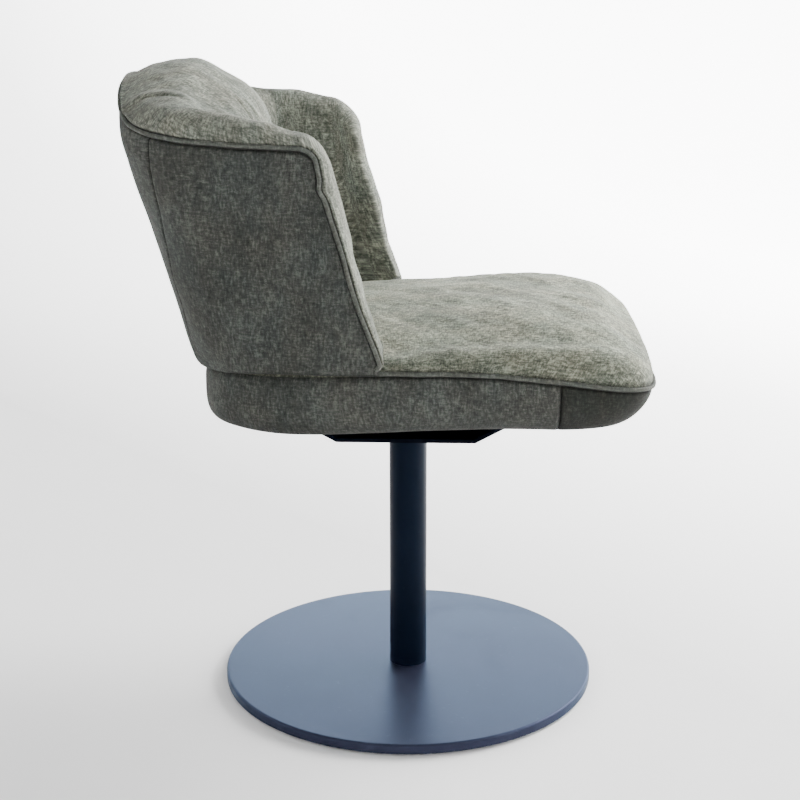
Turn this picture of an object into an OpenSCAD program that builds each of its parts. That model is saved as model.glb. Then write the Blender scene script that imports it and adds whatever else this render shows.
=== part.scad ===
// Swivel dining chair: an upholstered tub seat that turns on a round column over a flat base disc.
// Millimetres, Z up. The origin is on the floor at the swivel axis, and the sitter faces -Y.

/* [Base] */
// Diameter of the base disc
base_d = 500; // [420:10:600]
// Thickness of the base disc
base_t = 12; // [10:1:16]
// Radius that breaks the disc's upper rim
rim_r = 3; // [1:0.5:4]
// Thickness of the floor pad under the disc
pad_t = 4; // [3:0.5:8]
// How far the floor pad stands back from the rim
pad_inset = 9; // [4:1:20]

/* [Column] */
// Diameter of the column tube
column_d = 50; // [44:1:60]
// Wall of the column tube
column_wall = 2.5; // [2:0.25:4]
// Diameter of the spindle that the seat turns on
spindle_d = 25; // [20:1:28]

/* [Saddle] */
// Depth of the folded saddle plate below the seat board
saddle_depth = 53; // [20:1:60]
// Width of the saddle
saddle_w = 180; // [150:5:220]
// How far the ends of the saddle's flanges stand back from the rear edge of the seat board
flange_inset = 14; // [4:1:20]
// Thickness of the saddle plate
saddle_t = 5; // [4:0.5:6]
// Slope of the saddle's wings
saddle_angle = 28.5; // [24:0.5:40]
// Length of the flange that each wing ends in
flange_l = 25; // [20:1:30]

/* [Seat] */
// Width of the seat cushion over its piping
seat_w = 500; // [440:2:600]
// Depth of the seat cushion over its piping
seat_depth = 556; // [500:2:620]
// How far the middle of the seat cushion lies in front of the swivel axis
seat_forward = 24; // [10:1:40]
// Height of the seat board's underside above the floor
board_z = 409; // [340:1:440]
// Thickness of the seat board
board_t = 15; // [12:1:20]
// How far the board's sides stand back from the seat cushion's
board_side_inset = 54; // [54:1:62]
// How far the board's front edge stands back from the seat cushion's
board_front_inset = 78; // [76:1:100]
// How far the board's rear edge stands back from the seat cushion's
board_rear_inset = 38; // [36:1:60]
// Height of the piping above the board's underside, along the sides and the rear
border_h = 78; // [74:1:90]
// How far the piping dips at the front
piping_dip = 25; // [0:1:30]
// Length over which it dips
dip_l = 232; // [150:2:260]
// Rise of the seat's crown above the piping
crown_h = 54; // [40:1:60]
// Diameter of the piping
piping_d = 6.4; // [5:0.2:7]
// Thickness of the upholstery fabric with its lining
fabric_t = 2; // [1.5:0.1:2.4]

/* [Backrest] */
// How far the arms stand out beside the seat cushion
arm_overhang = 14; // [12:1:24]
// How far the backrest's foot stands out behind the seat cushion
back_overhang = 22; // [22:1:30]
// Thickness of the backrest's foot
back_foot_t = 134; // [110:1:140]
// Where the arms' straight part starts, behind the swivel axis at the foot
arm_root = 50; // [40:1:60]
// Length of the arms' straight part
arm_l = 25; // [20:1:34]
// Backward lean of the backrest
back_angle = 17; // [14:0.5:19]
// Height above the seat's piping at which the lean starts to fade
lean_fade_h = 193; // [180:1:220]
// Height over which the lean fades
lean_fade_l = 110; // [80:2:140]
// Height of the arms' piping above the seat's
arm_h = 262; // [230:1:280]
// How far the piping climbs from the arms to the middle of the back
back_rise = 59; // [30:1:70]
// Radius of the piping where an arm's top turns down its front
arm_corner_r = 16; // [10:1:24]
// Thickness of an arm
arm_t = 57; // [50:1:62]
// Backward lean of the back's inner face
inner_angle = 7; // [5:0.5:9]
// How far the back's padding bulges forward between the arms, at the seat
pillow_bulge = 30; // [20:1:36]
// How far the arms' padding rolls over above the piping
arm_roll = 16; // [12:1:24]
// How far the back's padding rolls over above the piping
back_roll = 21; // [16:1:28]
// Thickness of the moulded plywood shell
shell_t = 10; // [8:1:11]
// Thickness of the wadding outside the shell
wadding_t = 5.4; // [4:0.1:5.6]

/* [Hidden] */
// Clearances, and the overrun of every cut
soft_gap = 0.3;
slide_gap = 0.05;
over = 1;

// Column: foot plug, bolt and washer
disc_z = pad_t;
column_z = disc_z + base_t;
tube_r = column_d / 2 - column_wall;
plug_h = 36;
plug_chamfer = 2;
column_bolt_d = 12;
column_bolt_head_d = 18;
column_bolt_head_h = 4.5;
column_bolt_bite = 24;
column_washer_d = 26;
column_washer_t = 2;
bolt_recess = 0.5;
counterbore_h = column_bolt_head_h + column_washer_t + bolt_recess;
socket_share = 0.5;
socket_depth_share = 0.6;

// Swivel: two bushes in the tube, and a spindle that a washer and a clip hold down
saddle_z = board_z - saddle_depth;
spindle_r = spindle_d / 2;
thrust_t = 1.5;
bush_flange_t = 2;
bush_flange_inset = 2;
column_top = saddle_z - soft_gap - thrust_t - bush_flange_t;
upper_bush_l = 45;
lower_bush_l = 30;
bush_span = 110;
lower_bush_z = column_top - bush_span;
spindle_washer_t = 1.5;
clip_t = 1.2;
clip_depth = 1;
clip_rim = 2.4;
clip_mouth = 14;
clip_z = lower_bush_z - soft_gap - spindle_washer_t - clip_t;
spindle_tail = 8;
spindle_chamfer = 1.5;
spindle_head_d = 66;
spindle_head_t = 5;

// Seat board, and the saddle whose flanges are bolted under it
seat_front = seat_depth / 2 + seat_forward;
seat_rear = seat_depth / 2 - seat_forward;
board_w = seat_w - 2 * board_side_inset;
board_front = seat_front - board_front_inset;
board_rear = seat_rear - board_rear_inset;
wing_run = (saddle_depth - saddle_t) / tan(saddle_angle);
flange_y = board_rear - flange_inset - flange_l;
saddle_flat = 2 * (flange_y - wing_run);
saddle_bolt_d = 8;
saddle_bolt_head_d = 14;
saddle_bolt_head_h = 5;
saddle_bolt_x = saddle_w / 2 - saddle_bolt_head_d;
saddle_bolt_y = flange_y + flange_l / 2;
nut_barrel_d = 10;
nut_barrel_l = 9;
nut_flange_d = 20;
nut_flange_t = 1.5;
dust_cover_t = 1;
dust_cover_inset = 12;

// Seat cushion: a superellipse in plan, squarer at the front than at the rear
seat_mid = -seat_forward;
piping_z = board_z + border_h;
crown_z = piping_z + crown_h;
board_mid = (board_rear - board_front) / 2;
board_half_l = (board_rear + board_front) / 2;
piping_r = piping_d / 2;
seam_half = piping_r + soft_gap;
piping_proud = piping_r - fabric_t + 2 * soft_gap;
cover_half_w = seat_w / 2 - piping_proud;
cover_half_l = seat_depth / 2 - piping_proud;
hem_slack = 1.8;
hem_z = board_z - fabric_t - hem_slack;
front_square_share = 8;
rear_square_share = 3.6;
board_square_share = 3.2;
dip_y = dip_l - seat_front;
dip_power_share = 1.5;
fall_l = 182;
fall_y = fall_l - seat_front;
fall_share = 0.07;
front_bulge_share = 4;
side_bulge_share = 2;
front_bulge_root_share = 0.35;
side_bulge_root_share = 0.667;
side_belly = 42;
front_belly = 78;
side_belly_square_share = 2.9;
rear_belly_square_share = 8;
front_belly_square_share = 1.73;
belly_growth_l = 348;
belly_growth_front = 104;
belly_growth_y = belly_growth_front + belly_growth_l - seat_front;
front_border_l = 117;
border_seam_y = front_border_l - seat_front;
corner_crowding_share = 6;
seat_columns = 44;
crown_rows = 6;
first_row_share = 0.6;
border_rows = 5;

// Backrest: its path runs from 0 in the middle of the back over 90 at the arm's root to the arm's end
arm_z = piping_z + arm_h;
lean_fade_z = piping_z + lean_fade_h;
back_half_w = seat_w / 2 + arm_overhang;
back_reach = seat_rear + back_overhang;
inner_reach = back_reach - back_foot_t;
root_path = 90;
foot_z = piping_z + seam_half;
skirt_drop = 8;
arm_pace = 6;
path_end = root_path + arm_l / arm_pace;
corner_path = path_end - arm_corner_r / arm_pace;
foot_path_share = 0.9;
foot_power_share = 1.76;
back_square_share = 2.6;
inner_square_share = 5;
bulge_growth_share = 0.06;
bulge_power_share = 1.2;
climb_power_share = 2.4;
edge_tail = 12;
roll_drop_share = 0.6;
roll_drop_free = 40;
corner_roll = 14;
foot_roll = 3;
roll_fade_share = 1.5;
rest_gap = 4 * soft_gap;
back_columns = 9;
corner_columns = 3;
front_columns = 5;
half_columns = back_columns + corner_columns + front_columns;
seam_column = 5;
turn_column = 7;
face_rows = 4;
roll_rows = 6;
roll_crowding_share = 1.5;
under_rows = 4;
under_crowding_share = 1.3;
inner_rows = 5;
wadding_depth = fabric_t + 2 * soft_gap;
shell_depth = wadding_depth + wadding_t + 2 * soft_gap;
shell_setback = 3;
shell_inset = seam_half + shell_setback;
shell_lift = 4.5;
foam_depth = shell_depth + shell_t + 2 * soft_gap;
pad_gap = 4 * soft_gap;
piping_out_share = 0.35;

// Flat steel brackets between the seat board and the shell
bracket_x = 36;
bracket_w = 32;
bracket_t = 5;
bracket_foot_l = 95;
bracket_setback = 17;
bracket_y = seat_rear - bracket_setback;
bracket_knee = 10;
bracket_joint = 40;
bracket_rise = 125;
bracket_knee_z = foot_z + bracket_knee;
bracket_joint_z = foot_z + bracket_joint;
bracket_top_z = foot_z + bracket_rise;
bracket_gap = 1.4;
slot_gap = 0.6;
screw_d = 5;
screw_l = 16;
screw_head_d = 10;
screw_head_h = 3;
screw_pitch = 30;
screw_edge = 15;
bracket_bolt_d = 8;
bracket_bolt_head_d = 13;
bracket_bolt_head_h = 4;
bracket_bolt_pitch = 38;
bracket_bolt_edge = 14;

// Colours
steel = [0.10, 0.12, 0.16];
bare_steel = [0.62, 0.63, 0.65];
fabric = [0.45, 0.47, 0.44];
plastic = [0.12, 0.12, 0.13];
foam = [0.90, 0.87, 0.72];
plywood = [0.76, 0.62, 0.43];

// Blends and lists

function clamp01(t) = min(1, max(0, t));
function mix(a, b, t) = a + (b - a) * t;
function unit(v) = v / max(norm(v), 1e-9);
function reversed(list) = [for (i = [len(list) - 1:-1:0]) list[i]];
function transposed(g) = [for (i = [0:len(g[0]) - 1]) [for (r = [0:len(g) - 1]) g[r][i]]];

// Normal of a grid of points by central differences; wrap joins the last column to the first
function grid_normal(g, r, i, wrap) =
    let(cols = len(g[0]))
    let(before = wrap ? (i + cols - 1) % cols : max(i - 1, 0))
    let(after = wrap ? (i + 1) % cols : min(i + 1, cols - 1))
    unit(cross(g[r][after] - g[r][before], g[min(r + 1, len(g) - 1)][i] - g[max(r - 1, 0)][i]));

// The grid sunk by a depth, which keeps nested layers evenly apart
function sunk(g, depth, wrap) =
    [for (r = [0:len(g) - 1]) [for (i = [0:len(g[0]) - 1])
        g[r][i] + depth * grid_normal(g, r, i, wrap)]];

// Triangles between n neighbouring rings of m points, split along the shorter diagonal, or as a list
// of splits says for the rings' first halves and the reverse for their second halves, so that nested
// layers split alike
function ring_faces(p, n, m, wrap, splits) =
    [for (i = [0:(wrap ? n - 1 : n - 2)], j = [0:m - 1])
        let(k = (j + 1) % m, next = ((i + 1) % n) * m)
        let(a = i * m + j, b = next + j, c = next + k, d = i * m + k)
        each (len(splits) > 0 ? (2 * j < m) == splits[i] : norm(p[a] - p[c]) < norm(p[b] - p[d]))
        ? [[a, c, b], [a, d, c]]
        : [[a, d, b], [b, d, c]]];

// Triangles across one ring, laid as a strip from its two ends to its middle
function strip_cap(start, m, flip) =
    [for (j = [0:floor(m / 2) - 1])
        let(a = start + j, b = a + 1, c = start + m - 2 - j, d = c + 1)
        for (t = concat(b < c ? [[a, b, c]] : [], b <= c ? [[a, c, d]] : []))
            flip ? t : reversed(t)];

// Solid skinned through rings of points; a wrapped one closes on itself, another gets two caps
module lofted(rings, wrap = false, splits = []) {
    n = len(rings);
    m = len(rings[0]);
    points = [for (r = rings) each r];
    caps = wrap ? [] : concat(strip_cap(0, m, false), strip_cap((n - 1) * m, m, true));
    polyhedron(points, concat(ring_faces(points, n, m, wrap, splits), caps));
}

// Solid skinned through rings of points between a first and a last point
module domed(rings, first, last) {
    n = len(rings);
    m = len(rings[0]);
    points = concat([for (r = rings) each r], [first, last]);
    fans = [for (j = [0:m - 1]) let(k = (j + 1) % m)
        each [[n * m, k, j], [n * m + 1, (n - 1) * m + j, (n - 1) * m + k]]];
    polyhedron(points, concat(ring_faces(points, n, m, false, []), fans));
}

// Six-sided cord along a path of points
module welt(path, wrap) {
    n = len(path);
    lofted([for (i = [0:n - 1])
        let(before = wrap ? path[(i + n - 1) % n] : path[max(i - 1, 0)])
        let(after = wrap ? path[(i + 1) % n] : path[min(i + 1, n - 1)])
        let(t = unit(after - before), s = unit(cross(t, path[i] - [0, 0, board_z])))
        let(u = cross(s, t))
        [for (a = [0:60:300]) path[i] + piping_r * (cos(a) * s + sin(a) * u)]], wrap);
}

module tube(outer_r, inner_r, h) {
    difference() {
        cylinder(r = outer_r, h = h, $fn = 96);
        translate([0, 0, -over]) cylinder(r = inner_r, h = h + 2 * over, $fn = 96);
    }
}

// Socket-head bolt: its head hangs under the origin and its shank rises from it
module bolt(d, head_d, head_h, length) {
    difference() {
        union() {
            cylinder(d = d, h = length, $fn = 32);
            translate([0, 0, -head_h]) cylinder(d = head_d, h = head_h, $fn = 48);
        }
        translate([0, 0, -head_h - over])
            cylinder(d = head_d * socket_share, h = head_h * socket_depth_share + over, $fn = 6);
    }
}

// Tee nut: its flange lies on the origin and its barrel hangs in the wood
module tee_nut(bore_d) {
    difference() {
        union() {
            cylinder(d = nut_flange_d, h = nut_flange_t, $fn = 48);
            translate([0, 0, -nut_barrel_l]) cylinder(d = nut_barrel_d, h = nut_barrel_l, $fn = 32);
        }
        translate([0, 0, -nut_barrel_l - over])
            cylinder(d = bore_d + 2 * slide_gap, h = nut_barrel_l + nut_flange_t + 2 * over, $fn = 32);
    }
}

// Base and column

module base_floor_pad() {
    color(plastic) cylinder(r = base_d / 2 - pad_inset, h = pad_t, $fn = 180);
}

module base_disc() {
    r = base_d / 2;
    rim = [for (a = [0:15:90]) [r - rim_r + rim_r * cos(a), base_t - rim_r + rim_r * sin(a)]];
    color(steel) translate([0, 0, disc_z]) difference() {
        rotate_extrude($fn = 180) polygon(concat([[0, 0], [r, 0]], rim, [[0, base_t]]));
        translate([0, 0, -over])
            cylinder(d = column_bolt_d + 2 * soft_gap, h = base_t + 2 * over, $fn = 48);
        translate([0, 0, -over])
            cylinder(d = column_washer_d + 2 * soft_gap, h = counterbore_h + over, $fn = 64);
    }
}

module column_tube() {
    color(steel) translate([0, 0, column_z]) tube(column_d / 2, tube_r, column_top - column_z);
}

module column_foot_plug() {
    r = tube_r - slide_gap;
    color(bare_steel) translate([0, 0, column_z]) difference() {
        rotate_extrude($fn = 96) polygon([[0, 0], [r, 0], [r, plug_h - plug_chamfer],
            [r - plug_chamfer, plug_h], [0, plug_h]]);
        translate([0, 0, -over])
            cylinder(d = column_bolt_d + 2 * slide_gap, h = column_bolt_bite + 2 * over, $fn = 48);
    }
}

module column_bolt() {
    seat_z = disc_z + counterbore_h - column_washer_t;
    color(bare_steel) translate([0, 0, seat_z]) bolt(column_bolt_d, column_bolt_head_d,
        column_bolt_head_h, column_z - seat_z + column_bolt_bite);
}

module column_bolt_washer() {
    color(bare_steel) translate([0, 0, disc_z + counterbore_h - column_washer_t])
        tube(column_washer_d / 2, column_bolt_d / 2 + slide_gap, column_washer_t);
}

// Swivel

module lower_bush() {
    color(plastic) translate([0, 0, lower_bush_z])
        tube(tube_r - slide_gap, spindle_r + slide_gap, lower_bush_l);
}

module upper_bush() {
    color(plastic) translate([0, 0, column_top]) difference() {
        union() {
            translate([0, 0, -upper_bush_l])
                cylinder(r = tube_r - slide_gap, h = upper_bush_l, $fn = 96);
            cylinder(r = column_d / 2 - bush_flange_inset, h = bush_flange_t, $fn = 96);
        }
        translate([0, 0, -upper_bush_l - over])
            cylinder(r = spindle_r + slide_gap, h = upper_bush_l + bush_flange_t + 2 * over, $fn = 96);
    }
}

module thrust_washer() {
    color(plastic) translate([0, 0, column_top + bush_flange_t])
        tube(column_d / 2 - bush_flange_inset, spindle_r + soft_gap, thrust_t);
}

module swivel_spindle() {
    top = saddle_z + saddle_t;
    tail = clip_z - spindle_tail;
    groove_r = spindle_r - clip_depth;
    head_r = spindle_head_d / 2;
    head_z = top + spindle_head_t;
    color(bare_steel) rotate_extrude($fn = 96) polygon([
        [0, tail], [spindle_r - spindle_chamfer, tail], [spindle_r, tail + spindle_chamfer],
        [spindle_r, clip_z], [groove_r, clip_z], [groove_r, clip_z + clip_t],
        [spindle_r, clip_z + clip_t], [spindle_r, top], [head_r, top],
        [head_r, head_z - spindle_chamfer], [head_r - spindle_chamfer, head_z], [0, head_z]]);
}

module spindle_washer() {
    color(bare_steel) translate([0, 0, clip_z + clip_t])
        tube(tube_r - clip_rim, spindle_r + soft_gap, spindle_washer_t);
}

module spindle_circlip() {
    r = spindle_r + clip_rim;
    color(bare_steel) translate([0, 0, clip_z]) difference() {
        tube(r, spindle_r - clip_depth + slide_gap, clip_t);
        translate([-clip_mouth / 2, 0, -over]) cube([clip_mouth, r + over, clip_t + 2 * over]);
    }
}

// Saddle: one plate folded up into two wings, with a flange along the end of each

module at_saddle_bolts() {
    for (x = [-saddle_bolt_x, saddle_bolt_x], y = [-saddle_bolt_y, saddle_bolt_y])
        translate([x, y, 0]) children();
}

module swivel_saddle() {
    fold = saddle_t * tan(saddle_angle / 2);
    half = [[saddle_flat / 2, saddle_z], [flange_y, board_z - saddle_t],
        [flange_y + flange_l, board_z - saddle_t], [flange_y + flange_l, board_z],
        [flange_y - fold, board_z], [saddle_flat / 2 - fold, saddle_z + saddle_t]];
    color(steel) difference() {
        rotate([90, 0, 90]) translate([0, 0, -saddle_w / 2]) linear_extrude(height = saddle_w)
            polygon(concat(half, [for (p = reversed(half)) [-p[0], p[1]]]));
        translate([0, 0, saddle_z - over])
            cylinder(r = spindle_r + slide_gap, h = saddle_t + 2 * over, $fn = 96);
        translate([0, 0, board_z - saddle_t - over]) at_saddle_bolts()
            cylinder(d = saddle_bolt_d + 2 * soft_gap, h = saddle_t + 2 * over, $fn = 32);
    }
}

module saddle_bolts() {
    color(bare_steel) translate([0, 0, board_z - saddle_t]) at_saddle_bolts()
        bolt(saddle_bolt_d, saddle_bolt_head_d, saddle_bolt_head_h, saddle_t + board_t);
}

module saddle_nuts() {
    color(bare_steel) translate([0, 0, board_z + board_t]) at_saddle_bolts() tee_nut(saddle_bolt_d);
}

// Plan and surfaces of the seat cushion

// Direction of a column, drawn closer together at the corners
function seat_angle(i) = let(t = 360 * i / seat_columns) t + corner_crowding_share * sin(4 * t);

function seat_square(s) = s < 0 ? front_square_share : rear_square_share;

// Distance from the middle to a superellipse with half sides a and b
function reach(angle, a, b, n) =
    pow(pow(abs(cos(angle)) / a, n) + pow(abs(sin(angle)) / b, n), -1 / n);

// Point of the cover in plan, at a share k of the way out from the middle
function seat_plan(angle, k) =
    let(r = k * reach(angle, cover_half_w, cover_half_l, seat_square(sin(angle))))
    [r * cos(angle), seat_mid + r * sin(angle)];

// How far out a plan point lies, as a share
function seat_share(x, y) =
    norm([x, y - seat_mid])
    / reach(atan2(y - seat_mid, x), cover_half_w, cover_half_l, seat_square(y - seat_mid));

function piping_height(y) =
    piping_z - piping_dip * pow(clamp01((dip_y - y) / dip_l), dip_power_share);

function frontness(angle) = pow(max(0, -sin(angle)), 2);
function rearness(angle) = pow(max(0, sin(angle)), 2);

function crown_height(angle, k) =
    let(f = frontness(angle), low = piping_height(seat_plan(angle, 1)[1]) + seam_half)
    let(power = mix(side_bulge_share, front_bulge_share, f))
    let(root = mix(side_bulge_root_share, front_bulge_root_share, f))
    let(flat_z = crown_z - fall_share * max(0, seat_plan(angle, k)[1] - fall_y))
    low + (flat_z - low) * pow(max(0, 1 - pow(k, power)), root);

function crown_at(p) = crown_height(atan2(p[1] - seat_mid, p[0]), min(1, seat_share(p[0], p[1])));

crown_grid = [for (r = [0:crown_rows])
    let(k = sin(90 * (r + first_row_share) / (crown_rows + first_row_share)))
    [for (i = [0:seat_columns - 1]) let(a = seat_angle(i), p = seat_plan(a, k))
        [p[0], p[1], crown_height(a, k)]]];

// The border falls from the piping over a belly, rounder to the front, to the hem under the board
function border_point(angle, t) =
    let(edge = seat_plan(angle, 1), out = norm(edge - [0, seat_mid]))
    let(f = clamp01((belly_growth_y - edge[1]) / belly_growth_l))
    let(n = mix(mix(side_belly_square_share, front_belly_square_share, f),
        rear_belly_square_share, rearness(angle)))
    let(inset = mix(side_belly, front_belly, f) * (1 - pow(cos(90 * t), 2 / n)))
    let(p = seat_plan(angle, 1 - inset / out))
    [p[0], p[1], mix(piping_height(edge[1]) - seam_half, hem_z, pow(sin(90 * t), 2 / n))];

border_grid = [for (r = [0:border_rows]) [for (i = [0:seat_columns - 1])
    border_point(seat_angle(i), r / border_rows)]];

function board_ring(grow, z) = [for (i = [0:seat_columns - 1])
    let(a = seat_angle(i), r = reach(a, board_w / 2 + grow, board_half_l + grow, board_square_share))
    [r * cos(a), board_mid + r * sin(a), z]];

module board_outline(grow) {
    polygon([for (p = board_ring(grow, 0)) [p[0], p[1]]]);
}

// Seat

module seat_board() {
    color(plywood) difference() {
        translate([0, 0, board_z]) linear_extrude(height = board_t) board_outline(0);
        translate([0, 0, board_z - over]) at_saddle_bolts()
            cylinder(d = nut_barrel_d + 2 * slide_gap, h = board_t + 2 * over, $fn = 32);
        translate([0, 0, board_z + board_t - screw_l + bracket_t - over]) at_bracket_screws()
            cylinder(d = screw_d + 2 * slide_gap, h = board_t + over, $fn = 24);
    }
}

module seat_dust_cover() {
    bottom = board_z - dust_cover_t;
    color(plastic) difference() {
        translate([0, 0, bottom]) linear_extrude(height = dust_cover_t)
            board_outline(-dust_cover_inset);
        for (side = [0, 180]) rotate([0, 0, side])
            translate([-saddle_w / 2 - over, flange_y - saddle_t, bottom - over])
                cube([saddle_w + 2 * over, board_rear, dust_cover_t + 2 * over]);
    }
}

module seat_foam() {
    depth = fabric_t + 4 * soft_gap;
    floor_z = board_z + board_t + soft_gap;
    border = sunk(border_grid, depth, true);
    rings = concat(sunk(crown_grid, depth, true), [for (r = [0:border_rows - 1]) border[r]],
        [board_ring(2 * soft_gap, board_z + soft_gap), board_ring(soft_gap, floor_z)]);
    color(foam) difference() {
        domed(rings, [0, seat_mid, crown_height(90, 0) - depth], [0, seat_mid, floor_z]);
        bracket_slots();
        translate([0, 0, floor_z - over]) at_saddle_bolts()
            cylinder(d = nut_flange_d + 2 * slot_gap, h = nut_flange_t + slot_gap + over, $fn = 16);
    }
}

module seat_top_cover() {
    top = crown_height(90, 0);
    inner = sunk(crown_grid, fabric_t, true);
    color(fabric) difference() {
        domed(concat(crown_grid, reversed(inner)), [0, seat_mid, top],
            [0, seat_mid, top - fabric_t]);
        bracket_slots();
    }
}

// Part of the border between two seams, with both faces of the fabric
module border_strip(columns) {
    outer = transposed(border_grid);
    inner = transposed(sunk(border_grid, fabric_t, true));
    color(fabric) lofted([for (i = columns) let(c = i % seat_columns)
        concat(inner[c], reversed(outer[c]))]);
}

function is_front(i) = seat_plan(seat_angle(i % seat_columns), 1)[1] < border_seam_y;

front_border_columns = [for (i = [0:seat_columns - 1]) if (is_front(i)) i];
first_front = front_border_columns[0];
last_front = front_border_columns[len(front_border_columns) - 1];

module seat_front_border() {
    border_strip(front_border_columns);
}

module seat_side_border() {
    border_strip([for (i = [last_front:first_front + seat_columns]) i]);
}

module seat_piping() {
    color(fabric) welt([for (i = [0:seat_columns - 1])
        let(a = seat_angle(i), p = seat_plan(a, 1))
        let(q = p + piping_proud * unit(p - [0, seat_mid]))
        [q[0], q[1], piping_height(p[1])]], true);
}

// Plan of the backrest along its path

function rake(z) =
    let(t = min(lean_fade_l, max(0, z - lean_fade_z)))
    tan(back_angle) * (min(z, lean_fade_z) - foot_z + t - t * t / (2 * lean_fade_l));

// How far out to the side a path position lies, as a share of the half width
function aside(c) = pow(sin(min(c, root_path)), 2 / back_square_share);

function tub_plan(c, z, half_w, depth, n) =
    let(s = aside(c))
    [half_w * s, arm_root + rake(z) + depth * pow(max(0, 1 - pow(s, n)), 1 / n)
        - arm_pace * max(0, c - root_path)];

function outer_plan(c, z) =
    tub_plan(c, z, back_half_w, back_reach - arm_root, back_square_share);

// The inner face is squarer, and the back bulges between the arms like a pillow
function inner_plan(c, z) =
    let(rise = z - foot_z, bulge = pillow_bulge + bulge_growth_share * rise)
    let(corner_y = inner_reach + bulge + tan(inner_angle) * rise)
    let(p = tub_plan(c, z, back_half_w - arm_t, corner_y - arm_root - rake(z), inner_square_share))
    p - [0, bulge * pow(max(0, 1 - pow(aside(c), 2)), bulge_power_share)];

function thickness(c, z) = norm(inner_plan(c, z) - outer_plan(c, z));

// Point at a depth under the outer face; the side is -1 on the right arm and 1 on the left
function tub_point(side, c, z, depth) =
    let(p = outer_plan(c, z) + depth * unit(inner_plan(c, z) - outer_plan(c, z)))
    [side * p[0], p[1], z];

// Edge of the backrest at a column, as its path position, its height and its outward direction
function arm_top(c) =
    arm_z + back_rise * (1 - cos(180 * pow(clamp01(1 - c / root_path), climb_power_share))) / 2;

function edge(h) =
    let(top = arm_top(corner_path), turn = 90 * (h - back_columns) / corner_columns)
    let(down = (h - back_columns - corner_columns) / front_columns)
    h <= back_columns
    ? let(c = corner_path * h / back_columns) [c, arm_top(c), 0, 1]
    : h <= back_columns + corner_columns
    ? [corner_path + arm_corner_r * sin(turn) / arm_pace, top - arm_corner_r * (1 - cos(turn)),
        sin(turn), cos(turn)]
    : [path_end, mix(top - arm_corner_r, piping_z + edge_tail, down), 1, 0];

function foot_path(h) =
    h <= back_columns
    ? foot_path_share * path_end * pow(h / back_columns, foot_power_share)
    : path_end * mix(foot_path_share, 1, (h - back_columns) / (half_columns - back_columns));

function skirt(c) = piping_z - soft_gap - skirt_drop * (1 - min(c, root_path) / root_path);

// Point of a flat layer, a share t of the way from the edge down to the foot
function layer_point(h, t, inset, foot, depth) =
    let(side = sign(h), e = edge(abs(h)), c1 = foot_path(abs(h)))
    tub_point(side, mix(e[0] - e[2] * inset / arm_pace, c1, t),
        mix(e[1] - e[3] * inset, foot ? foot_z + shell_lift : skirt(c1), t), depth);

// One layer of the backrest between two depths, over a run of columns; its split turns over
// where the columns stop leaning one way, and again in the middle of the back
module layer(columns, inset, on_seat, near, far) {
    rows = [for (r = [0:face_rows]) r / face_rows];
    lofted([for (h = columns) concat([for (t = rows) layer_point(h, t, inset, on_seat, near)],
        [for (t = reversed(rows)) layer_point(h, t, inset, on_seat, far)])],
        splits = [for (h = columns) (h < 0) != (max(h, -h - 1) < turn_column)]);
}

// Padding: a roll over the edge, then the inner face down to the seat's crown
function roll_height(h) =
    let(back = clamp01(1 - edge(h)[0] / root_path))
    let(down = clamp01((h - back_columns - corner_columns) / front_columns))
    let(high = mix(arm_roll, back_roll, back) + corner_roll * sin(180 * sqrt(back)))
    mix(foot_roll, high, pow(1 - down, roll_fade_share));

function inner_foot(h) =
    let(p = inner_plan(foot_path(h), foot_z)) crown_at(p) + rest_gap;

function roll_drop(h) =
    let(e = edge(h), t = thickness(e[0], e[1]))
    min(roll_drop_share * max(0, t - roll_drop_free), e[1] - inner_foot(h) - edge_tail / 2);

function roll_point(h, turn) =
    let(side = sign(h), k = abs(h), e = edge(k), s = (1 - cos(turn)) / 2, drop = roll_drop(k))
    let(rise = seam_half + (roll_height(k) + drop * e[3] * s) * sin(turn))
    let(c = e[0] + e[2] * rise / arm_pace, z = e[1] + e[3] * rise - drop * s)
    tub_point(side, c, z, s * thickness(c, z));

function inner_point(h, t) =
    let(side = sign(h), k = abs(h), e = edge(k))
    let(c = mix(e[0] + e[2] * seam_half / arm_pace, foot_path(k), t))
    let(z = mix(e[1] + e[3] * seam_half - roll_drop(k), inner_foot(k), t))
    tub_point(side, c, z, thickness(c, z));

columns_all = [for (h = [-half_columns:half_columns]) h];

pad_grid = concat(
    [for (r = [0:roll_rows]) let(turn = 180 * pow(r / roll_rows, roll_crowding_share))
        [for (h = columns_all) roll_point(h, turn)]],
    [for (r = [1:inner_rows]) [for (h = columns_all) inner_point(h, r / inner_rows)]]);

// Underside of the padding, over the seat's crown
function under_point(h, depth) =
    let(c = foot_path(abs(h)), p = tub_point(sign(h), c, foot_z, depth))
    [p[0], p[1], crown_at(p) + rest_gap];

// Brackets: flat bars that stand on the board and lie against the shell

bracket_path = let(floor_z = board_z + board_t, wall_y = back_reach - foam_depth - bracket_gap) [
    [bracket_y - bracket_foot_l, floor_z], [bracket_y, floor_z], [bracket_y, bracket_knee_z],
    [wall_y + rake(bracket_joint_z), bracket_joint_z], [wall_y + rake(bracket_top_z), bracket_top_z]];

// Vertex of a path, moved to the left by a distance and past its ends by another
function left_of(path, i, distance, past) =
    let(n = len(path) - 1)
    let(a = unit(path[max(i, 1)] - path[max(i, 1) - 1]))
    let(b = unit(path[min(i, n - 1) + 1] - path[min(i, n - 1)]))
    let(miter = [-a[1] - b[1], a[0] + b[0]] / (1 + a * b))
    path[i] + distance * miter + (i == 0 ? -past * b : i == n ? past * a : [0, 0]);

module bracket_bar(width, near, far, past) {
    last = len(bracket_path) - 1;
    rotate([90, 0, 90]) translate([0, 0, -width / 2]) linear_extrude(height = width)
        polygon(concat([for (i = [0:last]) left_of(bracket_path, i, near, past)],
            [for (i = [last:-1:0]) left_of(bracket_path, i, far, past)]));
}

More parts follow.
